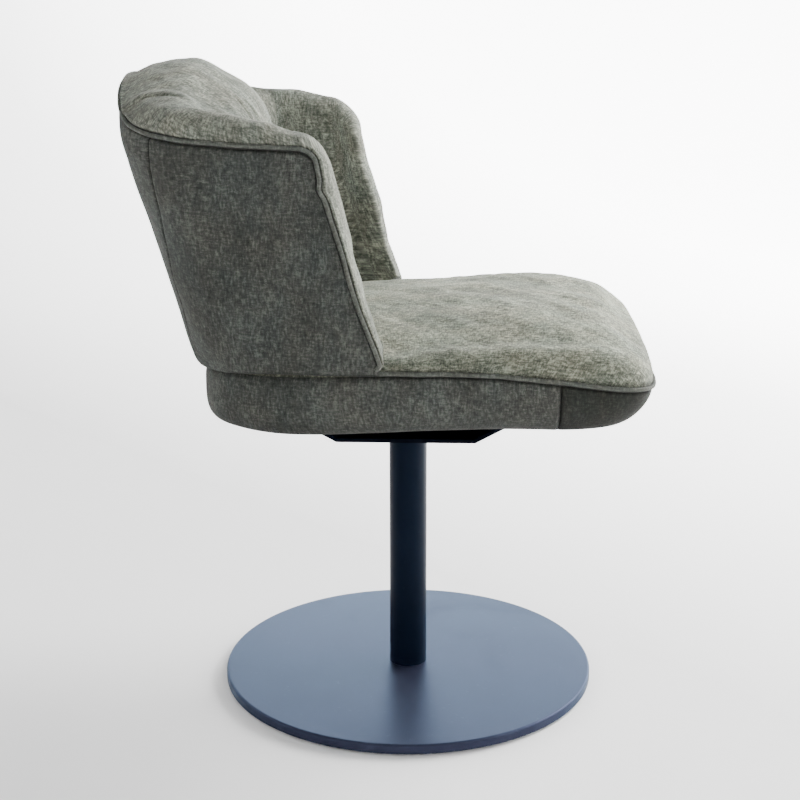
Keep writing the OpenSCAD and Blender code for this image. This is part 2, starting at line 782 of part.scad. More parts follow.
module at_brackets() {
    for (side = [-1, 1]) translate([side * bracket_x, 0, 0]) children();
}

module at_bracket_screws() {
    at_brackets() for (n = [0, 1])
        translate([0, bracket_y - bracket_foot_l + screw_edge + n * screw_pitch, 0]) children();
}

// Places of the bolts through the bar's upper leg, with Z pointing back through the shell
module at_bracket_bolts() {
    leg = unit(bracket_path[4] - bracket_path[3]);
    at_brackets() for (n = [0, 1]) {
        p = bracket_path[4] - (bracket_bolt_edge + n * bracket_bolt_pitch) * leg;
        translate([0, p[0], p[1]]) rotate([-90 - back_angle, 0, 0]) children();
    }
}

module bracket_slots() {
    at_brackets() bracket_bar(bracket_w + 2 * slot_gap, -slot_gap - bracket_gap,
        bracket_t + slot_gap, slot_gap);
    at_bracket_screws() translate([0, 0, board_z + board_t])
        cylinder(d = screw_head_d + 2 * slot_gap, h = bracket_t + screw_head_h + slot_gap, $fn = 16);
    at_bracket_bolts() translate([0, 0, -bracket_t - bracket_bolt_head_h - slot_gap])
        cylinder(d = bracket_bolt_head_d + 2 * slot_gap, h = bracket_bolt_head_h + 2 * slot_gap, $fn = 16);
}

module back_brackets() {
    color(steel) difference() {
        at_brackets() bracket_bar(bracket_w, 0, bracket_t, 0);
        translate([0, 0, board_z + board_t - over]) at_bracket_screws()
            cylinder(d = screw_d + 2 * soft_gap, h = bracket_t + 2 * over, $fn = 24);
        at_bracket_bolts() translate([0, 0, -bracket_t - over])
            cylinder(d = bracket_bolt_d + 2 * soft_gap, h = bracket_t + 2 * over, $fn = 32);
    }
}

module bracket_screws() {
    color(bare_steel) translate([0, 0, board_z + board_t + bracket_t]) at_bracket_screws()
        rotate([180, 0, 0]) bolt(screw_d, screw_head_d, screw_head_h, screw_l);
}

module bracket_bolts() {
    color(bare_steel) at_bracket_bolts() translate([0, 0, -bracket_t])
        bolt(bracket_bolt_d, bracket_bolt_head_d, bracket_bolt_head_h,
            bracket_t + bracket_gap + shell_t);
}

module bracket_nuts() {
    color(bare_steel) at_bracket_bolts() translate([0, 0, bracket_gap + soft_gap + shell_t])
        tee_nut(bracket_bolt_d);
}

// Backrest

module nut_pockets(d, top) {
    at_bracket_bolts() translate([0, 0, -over]) cylinder(d = d, h = top + over, $fn = 32);
}

module backrest_shell() {
    color(plywood) difference() {
        layer(columns_all, shell_inset, true, shell_depth, shell_depth + shell_t);
        nut_pockets(nut_barrel_d + 2 * soft_gap, 2 * shell_t);
    }
}

module backrest_wadding() {
    color(foam) difference() {
        layer(columns_all, shell_inset, true, wadding_depth, wadding_depth + wadding_t);
        nut_pockets(nut_flange_d + 2 * slot_gap, 2 * shell_t);
    }
}

module backrest_foam() {
    pad = transposed(sunk(pad_grid, fabric_t + pad_gap, false));
    rows = [for (r = [0:face_rows]) r / face_rows];
    color(foam) difference() {
        lofted([for (i = [0:len(columns_all) - 1]) let(h = columns_all[i])
            let(t = thickness(foot_path(abs(h)), foot_z))
            concat([for (r = [1:under_rows - 1])
                    under_point(h, mix(foam_depth, t, pow(r / under_rows, under_crowding_share)))],
                reversed(pad[i]),
                [for (r = rows) r == 1 ? under_point(h, foam_depth)
                    : layer_point(h, r, shell_inset - soft_gap, true, foam_depth)])]);
        bracket_slots();
    }
}

module back_outer_panel() {
    color(fabric) layer([for (h = [-seam_column:seam_column]) h], seam_half, false, 0, fabric_t);
}

module right_side_panel() {
    color(fabric) layer([for (h = [-half_columns:-seam_column]) h], seam_half, false, 0, fabric_t);
}

module left_side_panel() {
    color(fabric) layer([for (h = [seam_column:half_columns]) h], seam_half, false, 0, fabric_t);
}

module backrest_inner_cover() {
    outer = transposed(pad_grid);
    inner = transposed(sunk(pad_grid, fabric_t, false));
    color(fabric) lofted([for (i = [0:len(columns_all) - 1]) concat(inner[i], reversed(outer[i]))]);
}

module backrest_piping() {
    color(fabric) welt([for (h = columns_all) let(e = edge(abs(h)))
        tub_point(sign(h), e[0], e[1], -piping_out_share * piping_r)], false);
}

base_floor_pad();
base_disc();
column_tube();
column_foot_plug();
column_bolt();
column_bolt_washer();
lower_bush();
upper_bush();
thrust_washer();
swivel_spindle();
spindle_washer();
spindle_circlip();
swivel_saddle();
saddle_bolts();
saddle_nuts();
seat_board();
seat_dust_cover();
seat_foam();
seat_top_cover();
seat_front_border();
seat_side_border();
seat_piping();
back_brackets();
bracket_screws();
bracket_bolts();
bracket_nuts();
backrest_shell();
backrest_foam();
backrest_wadding();
back_outer_panel();
right_side_panel();
left_side_panel();
backrest_inner_cover();
backrest_piping();
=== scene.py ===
# Looks of the swivel dining chair, in metres, with the sitter facing -Y.
import math

import bmesh
import bpy
import numpy as np
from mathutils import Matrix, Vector


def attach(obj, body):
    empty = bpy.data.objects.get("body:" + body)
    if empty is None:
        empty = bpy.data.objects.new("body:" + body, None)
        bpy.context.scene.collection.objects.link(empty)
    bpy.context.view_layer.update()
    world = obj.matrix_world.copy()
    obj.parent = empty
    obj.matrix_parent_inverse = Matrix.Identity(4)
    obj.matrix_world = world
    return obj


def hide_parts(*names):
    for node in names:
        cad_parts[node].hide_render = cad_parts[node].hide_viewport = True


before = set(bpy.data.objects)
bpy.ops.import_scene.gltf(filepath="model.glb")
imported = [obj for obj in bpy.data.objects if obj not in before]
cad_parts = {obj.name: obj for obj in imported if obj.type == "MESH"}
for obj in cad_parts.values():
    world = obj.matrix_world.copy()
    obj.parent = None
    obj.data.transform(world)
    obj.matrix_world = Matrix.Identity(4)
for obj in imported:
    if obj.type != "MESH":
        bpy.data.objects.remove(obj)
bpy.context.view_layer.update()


# Camera: a long lens a little above the chair's back, looking down at its right side. The picture
# was cropped a little off the lens's axis, which the shift repeats.
lens_mm = 68.04
film_mm = 36
crop_shift = -0.01019
camera_place = (-1.9288, -0.0674, 0.918)
camera_heading = math.radians(2)
camera_dip = math.radians(15.36)

camera = bpy.data.objects.new("camera", bpy.data.cameras.new("camera"))
camera.data.lens = lens_mm
camera.data.sensor_width = film_mm
camera.data.shift_x = crop_shift
camera.location = camera_place
look = Vector((math.cos(camera_heading), math.sin(camera_heading), -math.tan(camera_dip)))
camera.rotation_euler = look.to_track_quat("-Z", "Y").to_euler()
bpy.context.scene.collection.objects.link(camera)
bpy.context.scene.camera = camera


# Studio: a pale floor that curves up into a round white cove, which glows softly on the far side and in
# front of the chair, one large soft light overhead, and a dim even surround.
class Wire:
    """One output in a material's node tree: sums and products of wires add the Math nodes for them."""

    def __init__(self, tree, socket=None):
        self.tree = tree
        self.socket = socket

    def node(self, kind, settings=None, inputs=None, out=0):
        """A new node of that kind; stops are a ramp's places and colours, and inputs are values or wires."""
        made = self.tree.nodes.new("ShaderNode" + kind)
        for name, value in (settings or {}).items():
            if name == "stops":
                while len(made.color_ramp.elements) < len(value):
                    made.color_ramp.elements.new(1.0)
                for element, (place, colour) in zip(made.color_ramp.elements, value):
                    element.position = place
                    element.color = (*colour, 1.0)
            else:
                setattr(made, name, value)
        for name, value in (inputs or {}).items():
            if isinstance(value, Wire):
                self.tree.links.new(value.socket, made.inputs[name])
            else:
                made.inputs[name].default_value = value
        return Wire(self.tree, made.outputs[out])

    def maths(self, operation, a, b):
        return self.node("Math", {"operation": operation}, {0: a, 1: b})

    def __add__(self, other):
        return self.maths("ADD", self, other)

    def __sub__(self, other):
        return self.maths("SUBTRACT", self, other)

    def __rsub__(self, other):
        return self.maths("SUBTRACT", other, self)

    def __mul__(self, other):
        return self.maths("MULTIPLY", self, other)

    __radd__ = __add__
    __rmul__ = __mul__

    def clamped(self):
        return self.node("Clamp", {}, {"Value": self})

    def parts(self):
        """Its X, Y and Z, each as a wire."""
        split = self.node("SeparateXYZ", {}, {0: self}).socket.node
        return [Wire(self.tree, part) for part in split.outputs]

    def tinted(self, other):
        """Its colour times another colour or wire."""
        return self.node("Mix", {"data_type": "RGBA", "blend_type": "MULTIPLY"}, {0: 1.0, 6: self, 7: other},
                         out=2)


def new_material(name):
    """A material with an empty node tree, as a wire that belongs to it, and the material itself."""
    material = bpy.data.materials.new(name)
    material.use_nodes = True
    material.node_tree.nodes.clear()
    return material, Wire(material.node_tree)


def surface(start, **inputs):
    """Ends a material in a Principled shader; words in the names stand apart with an underscore."""
    shader = start.node("BsdfPrincipled", {}, {k.replace("_", " "): v for k, v in inputs.items()})
    output = start.tree.nodes.new("ShaderNodeOutputMaterial")
    start.tree.links.new(shader.socket, output.inputs["Surface"])


cove_start = 2.6
cove_r = 2.4
cove_top = 5.0
floor_steps = 128
flat_rings = 17
cove_turn = np.linspace(0, np.pi / 2, 25)
flat_out = np.linspace(0.05, cove_start, flat_rings + 1)[:-1]
cove_out = np.concatenate([flat_out, cove_start + cove_r * np.sin(cove_turn), [cove_start + cove_r]])
cove_up = np.concatenate([np.zeros(flat_rings), cove_r * (1 - np.cos(cove_turn)), [cove_top]])
round_floor = np.linspace(0, 2 * np.pi, floor_steps, endpoint=False)
floor_points = np.stack([cove_out[:, None] * np.cos(round_floor), cove_out[:, None] * np.sin(round_floor),
                         np.broadcast_to(cove_up[:, None], (len(cove_up), floor_steps))], -1)
floor_faces = [list(range(floor_steps))]
for ring in range(len(cove_up) - 1):
    for n in range(floor_steps):
        after = (n + 1) % floor_steps
        floor_faces.append([ring * floor_steps + n, (ring + 1) * floor_steps + n,
                            (ring + 1) * floor_steps + after, ring * floor_steps + after])
floor_mesh = bpy.data.meshes.new("floor")
floor_mesh.from_pydata(floor_points.reshape(-1, 3).tolist(), [], floor_faces)
floor_mesh.shade_smooth()
floor = bpy.data.objects.new("floor", floor_mesh)
bpy.context.scene.collection.objects.link(floor)

floor_paint, start = new_material("floor_paint")
to_far_side, to_rear, height = start.node("TexCoord", out=3).parts()
far_glow = (to_far_side * 0.28 - to_rear * 0.28 - 0.11).clamped()
low_glow = (1.25 - height * 0.30).clamped()
glow_stops = [(0.0, (0.0, 0.0, 0.0)), (0.5, (0.30, 0.30, 0.30)), (1.0, (1.0, 1.0, 1.0))]
glow = start.node("ValToRGB", {"stops": glow_stops}, {"Fac": far_glow * low_glow})
mottle = start.node("TexNoise", {}, {"Scale": 3.0, "Detail": 2.0})
surface(start, Base_Color=(0.86, 0.86, 0.86, 1), Roughness=0.6 + mottle * 0.1, Specular_IOR_Level=0.2,
        Emission_Color=glow, Emission_Strength=7.5)
floor_paint.cycles.emission_sampling = "NONE"
floor_mesh.materials.append(floor_paint)


def soft_light(name, place, size, watts):
    light = bpy.data.objects.new(name, bpy.data.lights.new(name, "AREA"))
    light.data.shape = "SQUARE"
    light.data.size = size
    light.data.energy = watts
    light.location = place
    light.rotation_euler = (Vector((0, 0, 0.4)) - Vector(place)).to_track_quat("-Z", "Y").to_euler()
    bpy.context.scene.collection.objects.link(light)


soft_light("overhead_light", (1.75, -2.6, 2.7), 2.0, 345)

surround = bpy.data.worlds.new("surround")
bpy.context.scene.world = surround
surround.use_nodes = True
surround.node_tree.nodes["Background"].inputs["Color"].default_value = (1, 1, 1, 1)
surround.node_tree.nodes["Background"].inputs["Strength"].default_value = 0.10


# Base disc, column, saddle and brackets: steel, welded or cut from plate, with a satin blue-black powder
# coat that has a fine orange peel, faint wipe marks, and a little polish where hands and feet reach.
def powder_coat(name, scuffs, colour, scuffed, gloss, metal):
    """The coat in a colour, which scuffs blend towards a lighter one."""
    material, start = new_material(name)
    place = start.node("TexCoord", out=3)
    peel = start.node("TexNoise", {}, {"Vector": place, "Scale": 900.0, "Detail": 1.0})
    wipes = start.node("TexNoise", {}, {"Vector": place, "Scale": 9.0, "Detail": 5.0, "Distortion": 1.4})
    specks = start.node("TexNoise", {}, {"Vector": place, "Scale": 150.0, "Detail": 3.0})
    marks = ((wipes - 0.52) * 5).clamped() * scuffs
    dust = ((specks - 0.66) * 9).clamped() * scuffs
    shade = start.node("Mix", {"data_type": "RGBA"},
                       {0: (marks * 0.5 + dust * 0.5).clamped(), 6: (*colour, 1), 7: (*scuffed, 1)},
                       out=2)
    bump = start.node("Bump", {}, {"Height": peel, "Strength": 0.12, "Distance": 0.0002})
    surface(start, Base_Color=shade, Roughness=0.36 + marks * 0.09 + wipes * 0.05, Normal=bump,
            Specular_IOR_Level=gloss, Specular_Tint=(0.57, 0.76, 1.0, 1), Metallic=metal)
    return material


def dress(node, material):
    """Gives a kept CAD node its finish."""
    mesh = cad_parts[node].data
    mesh.materials.clear()
    mesh.materials.append(material)
    for face in mesh.polygons:
        face.material_index = 0


# One coat in lit and shaded copies: the disc's colour is painted lighter, as painted light where it faces the
# lamp, and the column's and the saddle's are painted darker, as painted shade, darkest under the seat.
disc_coat_lit = powder_coat("disc_coat_lit", 1.0, (0.0215, 0.0235, 0.043), (0.040, 0.045, 0.070), 0.12, 0.5)
column_coat_shaded = powder_coat("frame_coat_shaded", 0.5, (0.0022, 0.0042, 0.0100), (0.009, 0.013, 0.021), 0.06, 0.0)
saddle_coat_shaded = powder_coat("saddle_coat_shaded", 0.5, (0.0022, 0.0032, 0.0060), (0.006, 0.008, 0.012), 0.0, 0.0)
dress("base_disc", disc_coat_lit)
dress("column_tube", column_coat_shaded)
dress("swivel_saddle", saddle_coat_shaded)
dress("back_brackets", saddle_coat_shaded)


# Floor pad, bushes and thrust washer: black moulded plastic with a fine eroded grain. The pad is stuck
# under the disc, and the bushes are pushed into the column from its top.
plastic, start = new_material("grained_plastic")
place = start.node("TexCoord", out=3)
grain = start.node("TexNoise", {}, {"Vector": place, "Scale": 1400.0, "Detail": 2.0})
rubbed = start.node("TexNoise", {}, {"Vector": place, "Scale": 40.0, "Detail": 3.0})
shade = start.node("ValToRGB", {"stops": [(0.3, (0.012, 0.012, 0.013)), (0.7, (0.022, 0.022, 0.024))]},
                   {"Fac": rubbed})
bump = start.node("Bump", {}, {"Height": grain, "Strength": 0.3, "Distance": 0.0002})
surface(start, Base_Color=shade, Roughness=0.5 + rubbed * 0.15, Normal=bump)
for name in ("base_floor_pad", "lower_bush", "upper_bush", "thrust_washer"):
    dress(name, plastic)


# Spindle, foot plug, bolts, nuts, washers and clip: turned or pressed steel with a thin zinc plating,
# which dulls unevenly and keeps the fine rings of the lathe.
zinc, start = new_material("zinc_plating")
place = start.node("TexCoord", out=3)
rings = start.node("TexWave", {"wave_type": "RINGS", "rings_direction": "Z"},
                   {"Vector": place, "Scale": 320.0, "Distortion": 2.0, "Detail": 2.0})
dulled = start.node("TexNoise", {}, {"Vector": place, "Scale": 90.0, "Detail": 4.0})
shade = start.node("ValToRGB", {"stops": [(0.3, (0.42, 0.43, 0.44)), (0.7, (0.62, 0.62, 0.61))]},
                   {"Fac": dulled})
bump = start.node("Bump", {}, {"Height": rings, "Strength": 0.15, "Distance": 0.0001})
surface(start, Base_Color=shade, Metallic=1.0, Roughness=0.28 + dulled * 0.2, Normal=bump)
for name in ("column_foot_plug", "column_bolt", "column_bolt_washer", "swivel_spindle", "spindle_washer",
             "spindle_circlip", "saddle_bolts", "saddle_nuts", "bracket_screws", "bracket_bolts",
             "bracket_nuts"):
    dress(name, zinc)


# Seat board and backrest shell: birch plywood, cut flat for the seat and pressed in a mould for the
# back, left bare because the upholstery covers it. Its edges show the plies.
plywood, start = new_material("birch_plywood")
place = start.node("TexCoord", out=3)
grain_place = start.node("Mapping", {}, {"Vector": place, "Scale": (90.0, 5.0, 400.0)})
grain = start.node("TexNoise", {}, {"Vector": grain_place, "Scale": 1.0, "Detail": 4.0})
plies = start.node("TexWave", {"bands_direction": "Z"}, {"Vector": place, "Scale": 110.0, "Detail": 1.0})
shade = start.node("ValToRGB", {"stops": [(0.3, (0.42, 0.29, 0.16)), (0.7, (0.66, 0.50, 0.31))]},
                   {"Fac": grain * 0.75 + plies * 0.25})
bump = start.node("Bump", {}, {"Height": grain, "Strength": 0.2, "Distance": 0.0004})
surface(start, Base_Color=shade, Roughness=0.6 + grain * 0.15, Normal=bump)
for name in ("seat_board", "backrest_shell"):
    dress(name, plywood)


# Dust cover: black spun-bonded cloth, stapled under the seat board round the saddle. It has the fine
# pressed dimples of such cloth.
dust_cloth, start = new_material("dust_cloth")
place = start.node("TexCoord", out=3)
dimples = start.node("TexVoronoi", {}, {"Vector": place, "Scale": 520.0})
fibres = start.node("TexNoise", {}, {"Vector": place, "Scale": 260.0, "Detail": 4.0})
shade = start.node("ValToRGB", {"stops": [(0.3, (0.006, 0.006, 0.007)), (0.75, (0.022, 0.022, 0.024))]},
                   {"Fac": fibres})
bump = start.node("Bump", {}, {"Height": dimples, "Strength": 0.5, "Distance": 0.0005})
surface(start, Base_Color=shade, Roughness=0.85 + fibres * 0.1, Normal=bump, Specular_IOR_Level=0.05)


# Upholstery cloth: a short velvety chenille in grey green, woven with slubs, its pile brushed lighter and
# darker in patches. It covers the seat, the back and the piping, in copies painted lighter or darker for the
# light or shade that falls on each part, and each copy is painted darker along its seams as painted shade.
def chenille(name, shade, contrast, blue):
    """The cloth at a brightness, which paints the light or shade that falls on the part it covers, a strength
    of its pattern, and a share of blue.
    """
    material, start = new_material(name)
    cut = start.node("UVMap", {"uv_map": "cut"})
    across, along = cut.parts()[:2]
    waver = start.node("TexNoise", {}, {"Vector": cut, "Scale": 22.0, "Detail": 2.0}) - 0.5

    def threads(per_across, per_along, detail, seed, rough=0.6):
        """Even noise drawn out along the cloth: so many lumps to a metre across it and along it."""
        place = start.node("CombineXYZ", {}, {0: (across + waver * 0.006) * per_across,
                                              1: along * per_along, 2: seed})
        noise = start.node("TexNoise", {}, {"Vector": place, "Scale": 1.0, "Detail": detail,
                                            "Roughness": rough})
        return noise - 0.5

    strokes = threads(380, 115, 3.0, 0.0)
    slubs = threads(140, 400, 3.0, 3.0)
    specks = threads(900, 800, 2.0, 7.0)
    blotches = threads(88, 42, 4.0, 11.0, 0.7)
    patches = threads(16, 11, 3.0, 17.0)
    tone = strokes * 1.1 + slubs * 0.85 + specks * 0.6 + blotches * 0.65 + patches * 0.5
    lift = (tone * contrast + 0.5).clamped()
    stops = [(0.05, (0.040, 0.044, 0.038)), (0.5, (0.125, 0.131, 0.111)), (0.95, (0.33, 0.34, 0.285))]
    stops = [(place, (shade * r, shade * g, shade * blue * b)) for place, (r, g, b) in stops]
    colour = start.node("ValToRGB", {"stops": stops}, {"Fac": lift})
    tints = start.node("ValToRGB", {"stops": [(0.35, (0.96, 1.01, 1.025)), (0.65, (1.025, 1.0, 0.98))]},
                       {"Fac": threads(20, 12, 2.0, 23.0) + 0.5})
    # Painted shade: the colour darkens to a sixth where the seam layer is small, in the crevices beside the
    # cord and on sides turned from the light.
    painted_shade_fade = start.node("UVMap", {"uv_map": "seam"}).parts()[0]
    seam_shade = (painted_shade_fade * 330).clamped() * 0.84 + 0.16
    height = specks * 1.0 + strokes * 0.5 + slubs * 0.6 + blotches * 0.5
    bump = start.node("Bump", {}, {"Height": height, "Strength": 0.55, "Distance": 0.0012})
    surface(start, Base_Color=colour.tinted(tints).tinted(seam_shade), Roughness=0.88 + blotches * 0.1,
            Normal=bump, Sheen_Weight=0.12 * min(1, 1.3 * shade), Sheen_Roughness=0.45,
            Sheen_Tint=(0.85, 0.88, 0.80, 1), Specular_IOR_Level=0.12)
    return material


# Seat cushion: a block of foam with a softer crown, its cover sewn to the borders along the piping and
# pulled down hard at the front, so it is tight there and puckers a little. It lies on the seat board.
# The seat's copy is painted lightest, as painted light on its top-lit crown.
seat_cloth_lit = chenille("chenille_seat_lit", 1.30, 1.5, 0.91)
seat_half_w = 0.2482
seat_half_l = 0.2762
seat_middle_y = -0.024
front_square = 8
rear_square = 3.6
piping_rear_z = 0.487
piping_dip = 0.025
dip_start_y = -0.070
crown_top = 0.541
fall_start_y = -0.120
seam_half = 0.0035
board_under = 0.4092
board_top = 0.4244
board_half_w = 0.1966
board_half_l = 0.2206
board_middle_y = -0.004
board_square = 3.2
wall_inset = 0.0065
rear_wall_square = 8
hem_z = 0.4052


def clip01(t):
    return np.clip(t, 0, 1)


def frontness(angle):
    return np.maximum(0, -np.sin(angle)) ** 2


def seat_outline(angle, out=0.0):
    """Plan of the cushion's edge, squarer in front than behind."""
    square = np.where(np.sin(angle) < 0, front_square, rear_square)
    reach = np.abs(np.cos(angle) / seat_half_w) ** square + np.abs(np.sin(angle) / seat_half_l) ** square
    reach = reach ** (-1 / square) + out
    return reach * np.cos(angle), seat_middle_y + reach * np.sin(angle)


def piping_height(y):
    front_y = seat_middle_y - seat_half_l
    return piping_rear_z - piping_dip * clip01((dip_start_y - y) / (dip_start_y - front_y)) ** 1.5


def crown_height(angle, share):
    """Height of the crown at a share of the way from its middle to its edge."""
    front = frontness(angle)
    edge_x, edge_y = seat_outline(angle)
    low = piping_height(edge_y) + seam_half
    y = seat_middle_y + share * (edge_y - seat_middle_y)
    top = crown_top - 0.07 * np.maximum(0, y - fall_start_y)
    rise = (top - low) * np.maximum(0, 1 - share ** (2 + 2 * front)) ** (0.667 - 0.317 * front)
    rise *= 1 - 0.20 * front ** 2 * np.exp(-((share - 0.91) / 0.075) ** 2)
    beside = clip01((0.05 - edge_y) / 0.12) * clip01((np.abs(edge_x) - 0.20) / 0.04)
    bulge = 0.009 * beside * np.exp(-((share - 0.94) / 0.085) ** 2) * clip01((1 - share) / 0.02) ** 0.5
    return low + rise + bulge


def crown_at(x, y):
    angle = np.arctan2(y - seat_middle_y, x)
    edge_x, edge_y = seat_outline(angle)
    share = np.hypot(x, y - seat_middle_y) / np.hypot(edge_x, edge_y - seat_middle_y)
    return crown_height(angle, np.minimum(share, 1))


def grid_faces(rows, columns, first=0, wrap=False):
    """Quads of a grid of points, row after row; a wrapped grid joins its last column to its first."""
    r, c = np.meshgrid(np.arange(rows - 1), np.arange(columns if wrap else columns - 1), indexing="ij")
    right = (c + 1) % columns
    corners = [r * columns + c, r * columns + right, (r + 1) * columns + right, (r + 1) * columns + c]
    return np.stack(corners, -1).reshape(-1, 4) + first


def new_piece(name, points, faces, material, cut, seam=None):
    """A smooth mesh; cut gives each point its place on the flat cloth, and seam how far the painted shade
    along seams and crevices has faded at each point.
    """
    mesh = bpy.data.meshes.new(name)
    mesh.from_pydata(points.tolist(), [], faces.tolist())
    corner_points = np.empty(len(mesh.loops), int)
    mesh.loops.foreach_get("vertex_index", corner_points)
    layer = mesh.uv_layers.new(name="cut")
    layer.data.foreach_set("uv", cut[corner_points].astype(np.float32).ravel())
    if seam is not None:
        layer = mesh.uv_layers.new(name="seam")
        painted_shade_fade = np.stack([seam, 0 * seam], -1)
        layer.data.foreach_set("uv", painted_shade_fade[corner_points].astype(np.float32).ravel())
    mesh.materials.append(material)
    mesh.shade_smooth()
    piece = bpy.data.objects.new(name, mesh)
    bpy.context.scene.collection.objects.link(piece)
    return piece


def normals(grid, wrap=False):
    """Unit normals of a grid of points by central differences."""
    if wrap:
        across = np.roll(grid, -1, 1) - np.roll(grid, 1, 1)
    else:
        across = np.gradient(grid, axis=1)
    cross = np.cross(across, np.gradient(grid, axis=0))
    return cross / np.maximum(np.linalg.norm(cross, axis=-1, keepdims=True), 1e-12)


def swell(points, size, seed):
    """Smooth uneven field of about -1 to 1 over points, with lumps of about that size."""
    random = np.random.default_rng(seed)
    waves = random.normal(size=(14, 3)) * 2 / size
    phases = random.uniform(0, 2 * math.pi, 14)
    return np.sin(points @ waves.T + phases).sum(-1) / 4


def way_off(points, line):
    """Distance of points from a line of straight steps, and the share of it where the nearest place lies."""
    nearest = np.full(points.shape[:-1], 9.0)
    along = np.zeros(points.shape[:-1])
    for n in range(len(line) - 1):
        start_point = np.array(line[n])
        step = np.array(line[n + 1]) - start_point
        t = clip01(((points - start_point) @ step) / (step @ step))
        off = np.linalg.norm(points - start_point - t[..., None] * step, axis=-1)
        along = np.where(off < nearest, (n + t) / (len(line) - 1), along)
        nearest = np.minimum(off, nearest)
    return nearest, along


def closed_sheet(name, grid, normal, thick, material, cut, seam=None, wrap=False):
    """A sheet of even thickness under a grid of points, closed at its edges."""
    rows, columns = grid.shape[:2]
    count = rows * columns
    points = np.concatenate([grid.reshape(-1, 3), (grid - thick * normal).reshape(-1, 3)])
    number = np.arange(count).reshape(rows, columns)
    faces = [grid_faces(rows, columns, 0, wrap), grid_faces(rows, columns, count, wrap)[:, ::-1]]
    edges = [np.append(number[0], number[0, :1]) if wrap else number[0],
             np.append(number[-1], number[-1, :1])[::-1] if wrap else number[-1, ::-1]]
    if not wrap:
        edges += [number[:, -1], number[::-1, 0]]
    for edge in edges:
        faces.append(np.stack([edge[1:], edge[:-1], edge[:-1] + count, edge[1:] + count], -1))
    flat = np.concatenate([cut.reshape(-1, 2)] * 2)
    if seam is not None:
        seam = np.concatenate([seam.reshape(-1)] * 2)
    return new_piece(name, points, np.concatenate(faces), material, flat, seam)


def way_along(points):
    """Distance from the first row of points to each row."""
    steps = np.linalg.norm(np.diff(points, axis=0), axis=-1)
    return np.concatenate([0 * steps[:1], np.cumsum(steps, axis=0)])


def rounded(distance, radius, deep):
    """Depth of a rounded edge at a distance from it."""
    return deep * (1 - np.sqrt(np.maximum(0, 1 - (1 - np.minimum(distance / radius, 1)) ** 2)))


def border_place(angle, t):
    """Point of the border, a share t of the way from the piping down to the hem under the board."""
    x, y = seat_outline(angle)
    growth = clip01((0.150 - y) / 0.348)
    square = 2.9 - 1.17 * growth
    square = square + (rear_wall_square - square) * np.maximum(0, np.sin(angle)) ** 2
    inset = (0.042 + 0.036 * growth) * (1 - np.cos(np.pi / 2 * t) ** (2 / square))
    share = 1 - inset / np.hypot(x, y - seat_middle_y)
    top = piping_height(y) - seam_half
    z = top + (hem_z - top) * np.sin(np.pi / 2 * t) ** (2 / square)
    return np.stack([x * share, seat_middle_y + (y - seat_middle_y) * share, z], -1)


def even_angles(count):
    """Directions from the middle of the seat to points evenly spaced along its edge."""
    fine = np.linspace(0, 2 * np.pi, 4001)
    way = way_along(np.stack(seat_outline(fine), -1))
    return np.interp(np.linspace(0, way[-1], count, endpoint=False), way, fine), way[-1]


crown_steps = 161
u, v = np.meshgrid(np.linspace(-1, 1, crown_steps), np.linspace(-1, 1, crown_steps))
out_share = np.maximum(np.abs(u), np.abs(v))
crown_angle = np.arctan2(v * seat_half_l, u * seat_half_w)
crown_share = np.sin(np.pi / 2 * out_share)
edge_x, edge_y = seat_outline(crown_angle)
crown_x = crown_share * edge_x
crown_y = seat_middle_y + crown_share * (edge_y - seat_middle_y)
crown = np.stack([crown_x, crown_y, crown_height(crown_angle, crown_share)], -1)
lift = normals(crown)
fade = clip01((1 - crown_share) * 12)
wrinkles = np.zeros(crown_share.shape)
wrinkle_lines = [(-0.045, -0.185, -0.063, -0.226, 0.0014), (-0.092, -0.213, -0.094, -0.238, 0.0010),
                 (-0.120, -0.108, -0.116, -0.127, 0.0009), (-0.068, -0.030, -0.074, -0.064, 0.0010),
                 (0.085, -0.196, 0.070, -0.232, 0.0012), (0.140, -0.130, 0.128, -0.160, 0.0008),
                 (-0.165, -0.215, -0.150, -0.250, 0.0010), (0.020, -0.236, -0.020, -0.244, 0.0008)]
for x0, y0, x1, y1, deep in wrinkle_lines:
    off, along = way_off(crown[..., :2], [(x0, y0), ((x0 + x1) / 2 + 0.002, (y0 + y1) / 2), (x1, y1)])
    bend = np.sin(np.pi * clip01(along * 0.9 + 0.05))
    wrinkles += deep * bend * (0.7 * np.exp(-((off - 0.005) / 0.004) ** 2) - np.exp(-(off / 0.0026) ** 2))
unevenness = 0.0018 * swell(crown, 0.07, 3) + 0.0007 * swell(crown, 0.02, 4)
crown += lift * (fade * (unevenness + wrinkles))[..., None]
edge_off = (1 - crown_share) * np.hypot(edge_x, edge_y - seat_middle_y)
lip = 0.0009 * np.exp(-((edge_off - 0.003) / 0.0018) ** 2)
crown[..., 2] += lip - 0.0008 * np.exp(-(edge_off / 0.0012) ** 2)

last = crown_steps - 1
side = np.arange(last)
rim = np.concatenate([side, last + side * crown_steps, last * crown_steps + last - side,
                      (last - side) * crown_steps])
rim_angle = crown_angle.reshape(-1)[rim]
wall_t = np.linspace(0.02, 0.80, 14)
walls = np.stack([border_place(rim_angle, t) for t in wall_t])
walls += wall_inset * normals(walls, True)
board_reach = ((np.abs(np.cos(crown_angle)) / board_half_w) ** board_square
               + (np.abs(np.sin(crown_angle)) / board_half_l) ** board_square) ** (-1 / board_square)
board_x = crown_share * board_reach * np.cos(crown_angle)
board_y = board_middle_y + crown_share * board_reach * np.sin(crown_angle)
on_board = np.stack([board_x, board_y, np.full_like(board_x, board_top)], -1).reshape(-1, 3)
under_edge = on_board[rim] + (0, 0, board_under - board_top)
count = len(on_board)
rings = [rim]
rings += [count + n * len(rim) + np.arange(len(rim)) for n in range(len(wall_t) + 1)]
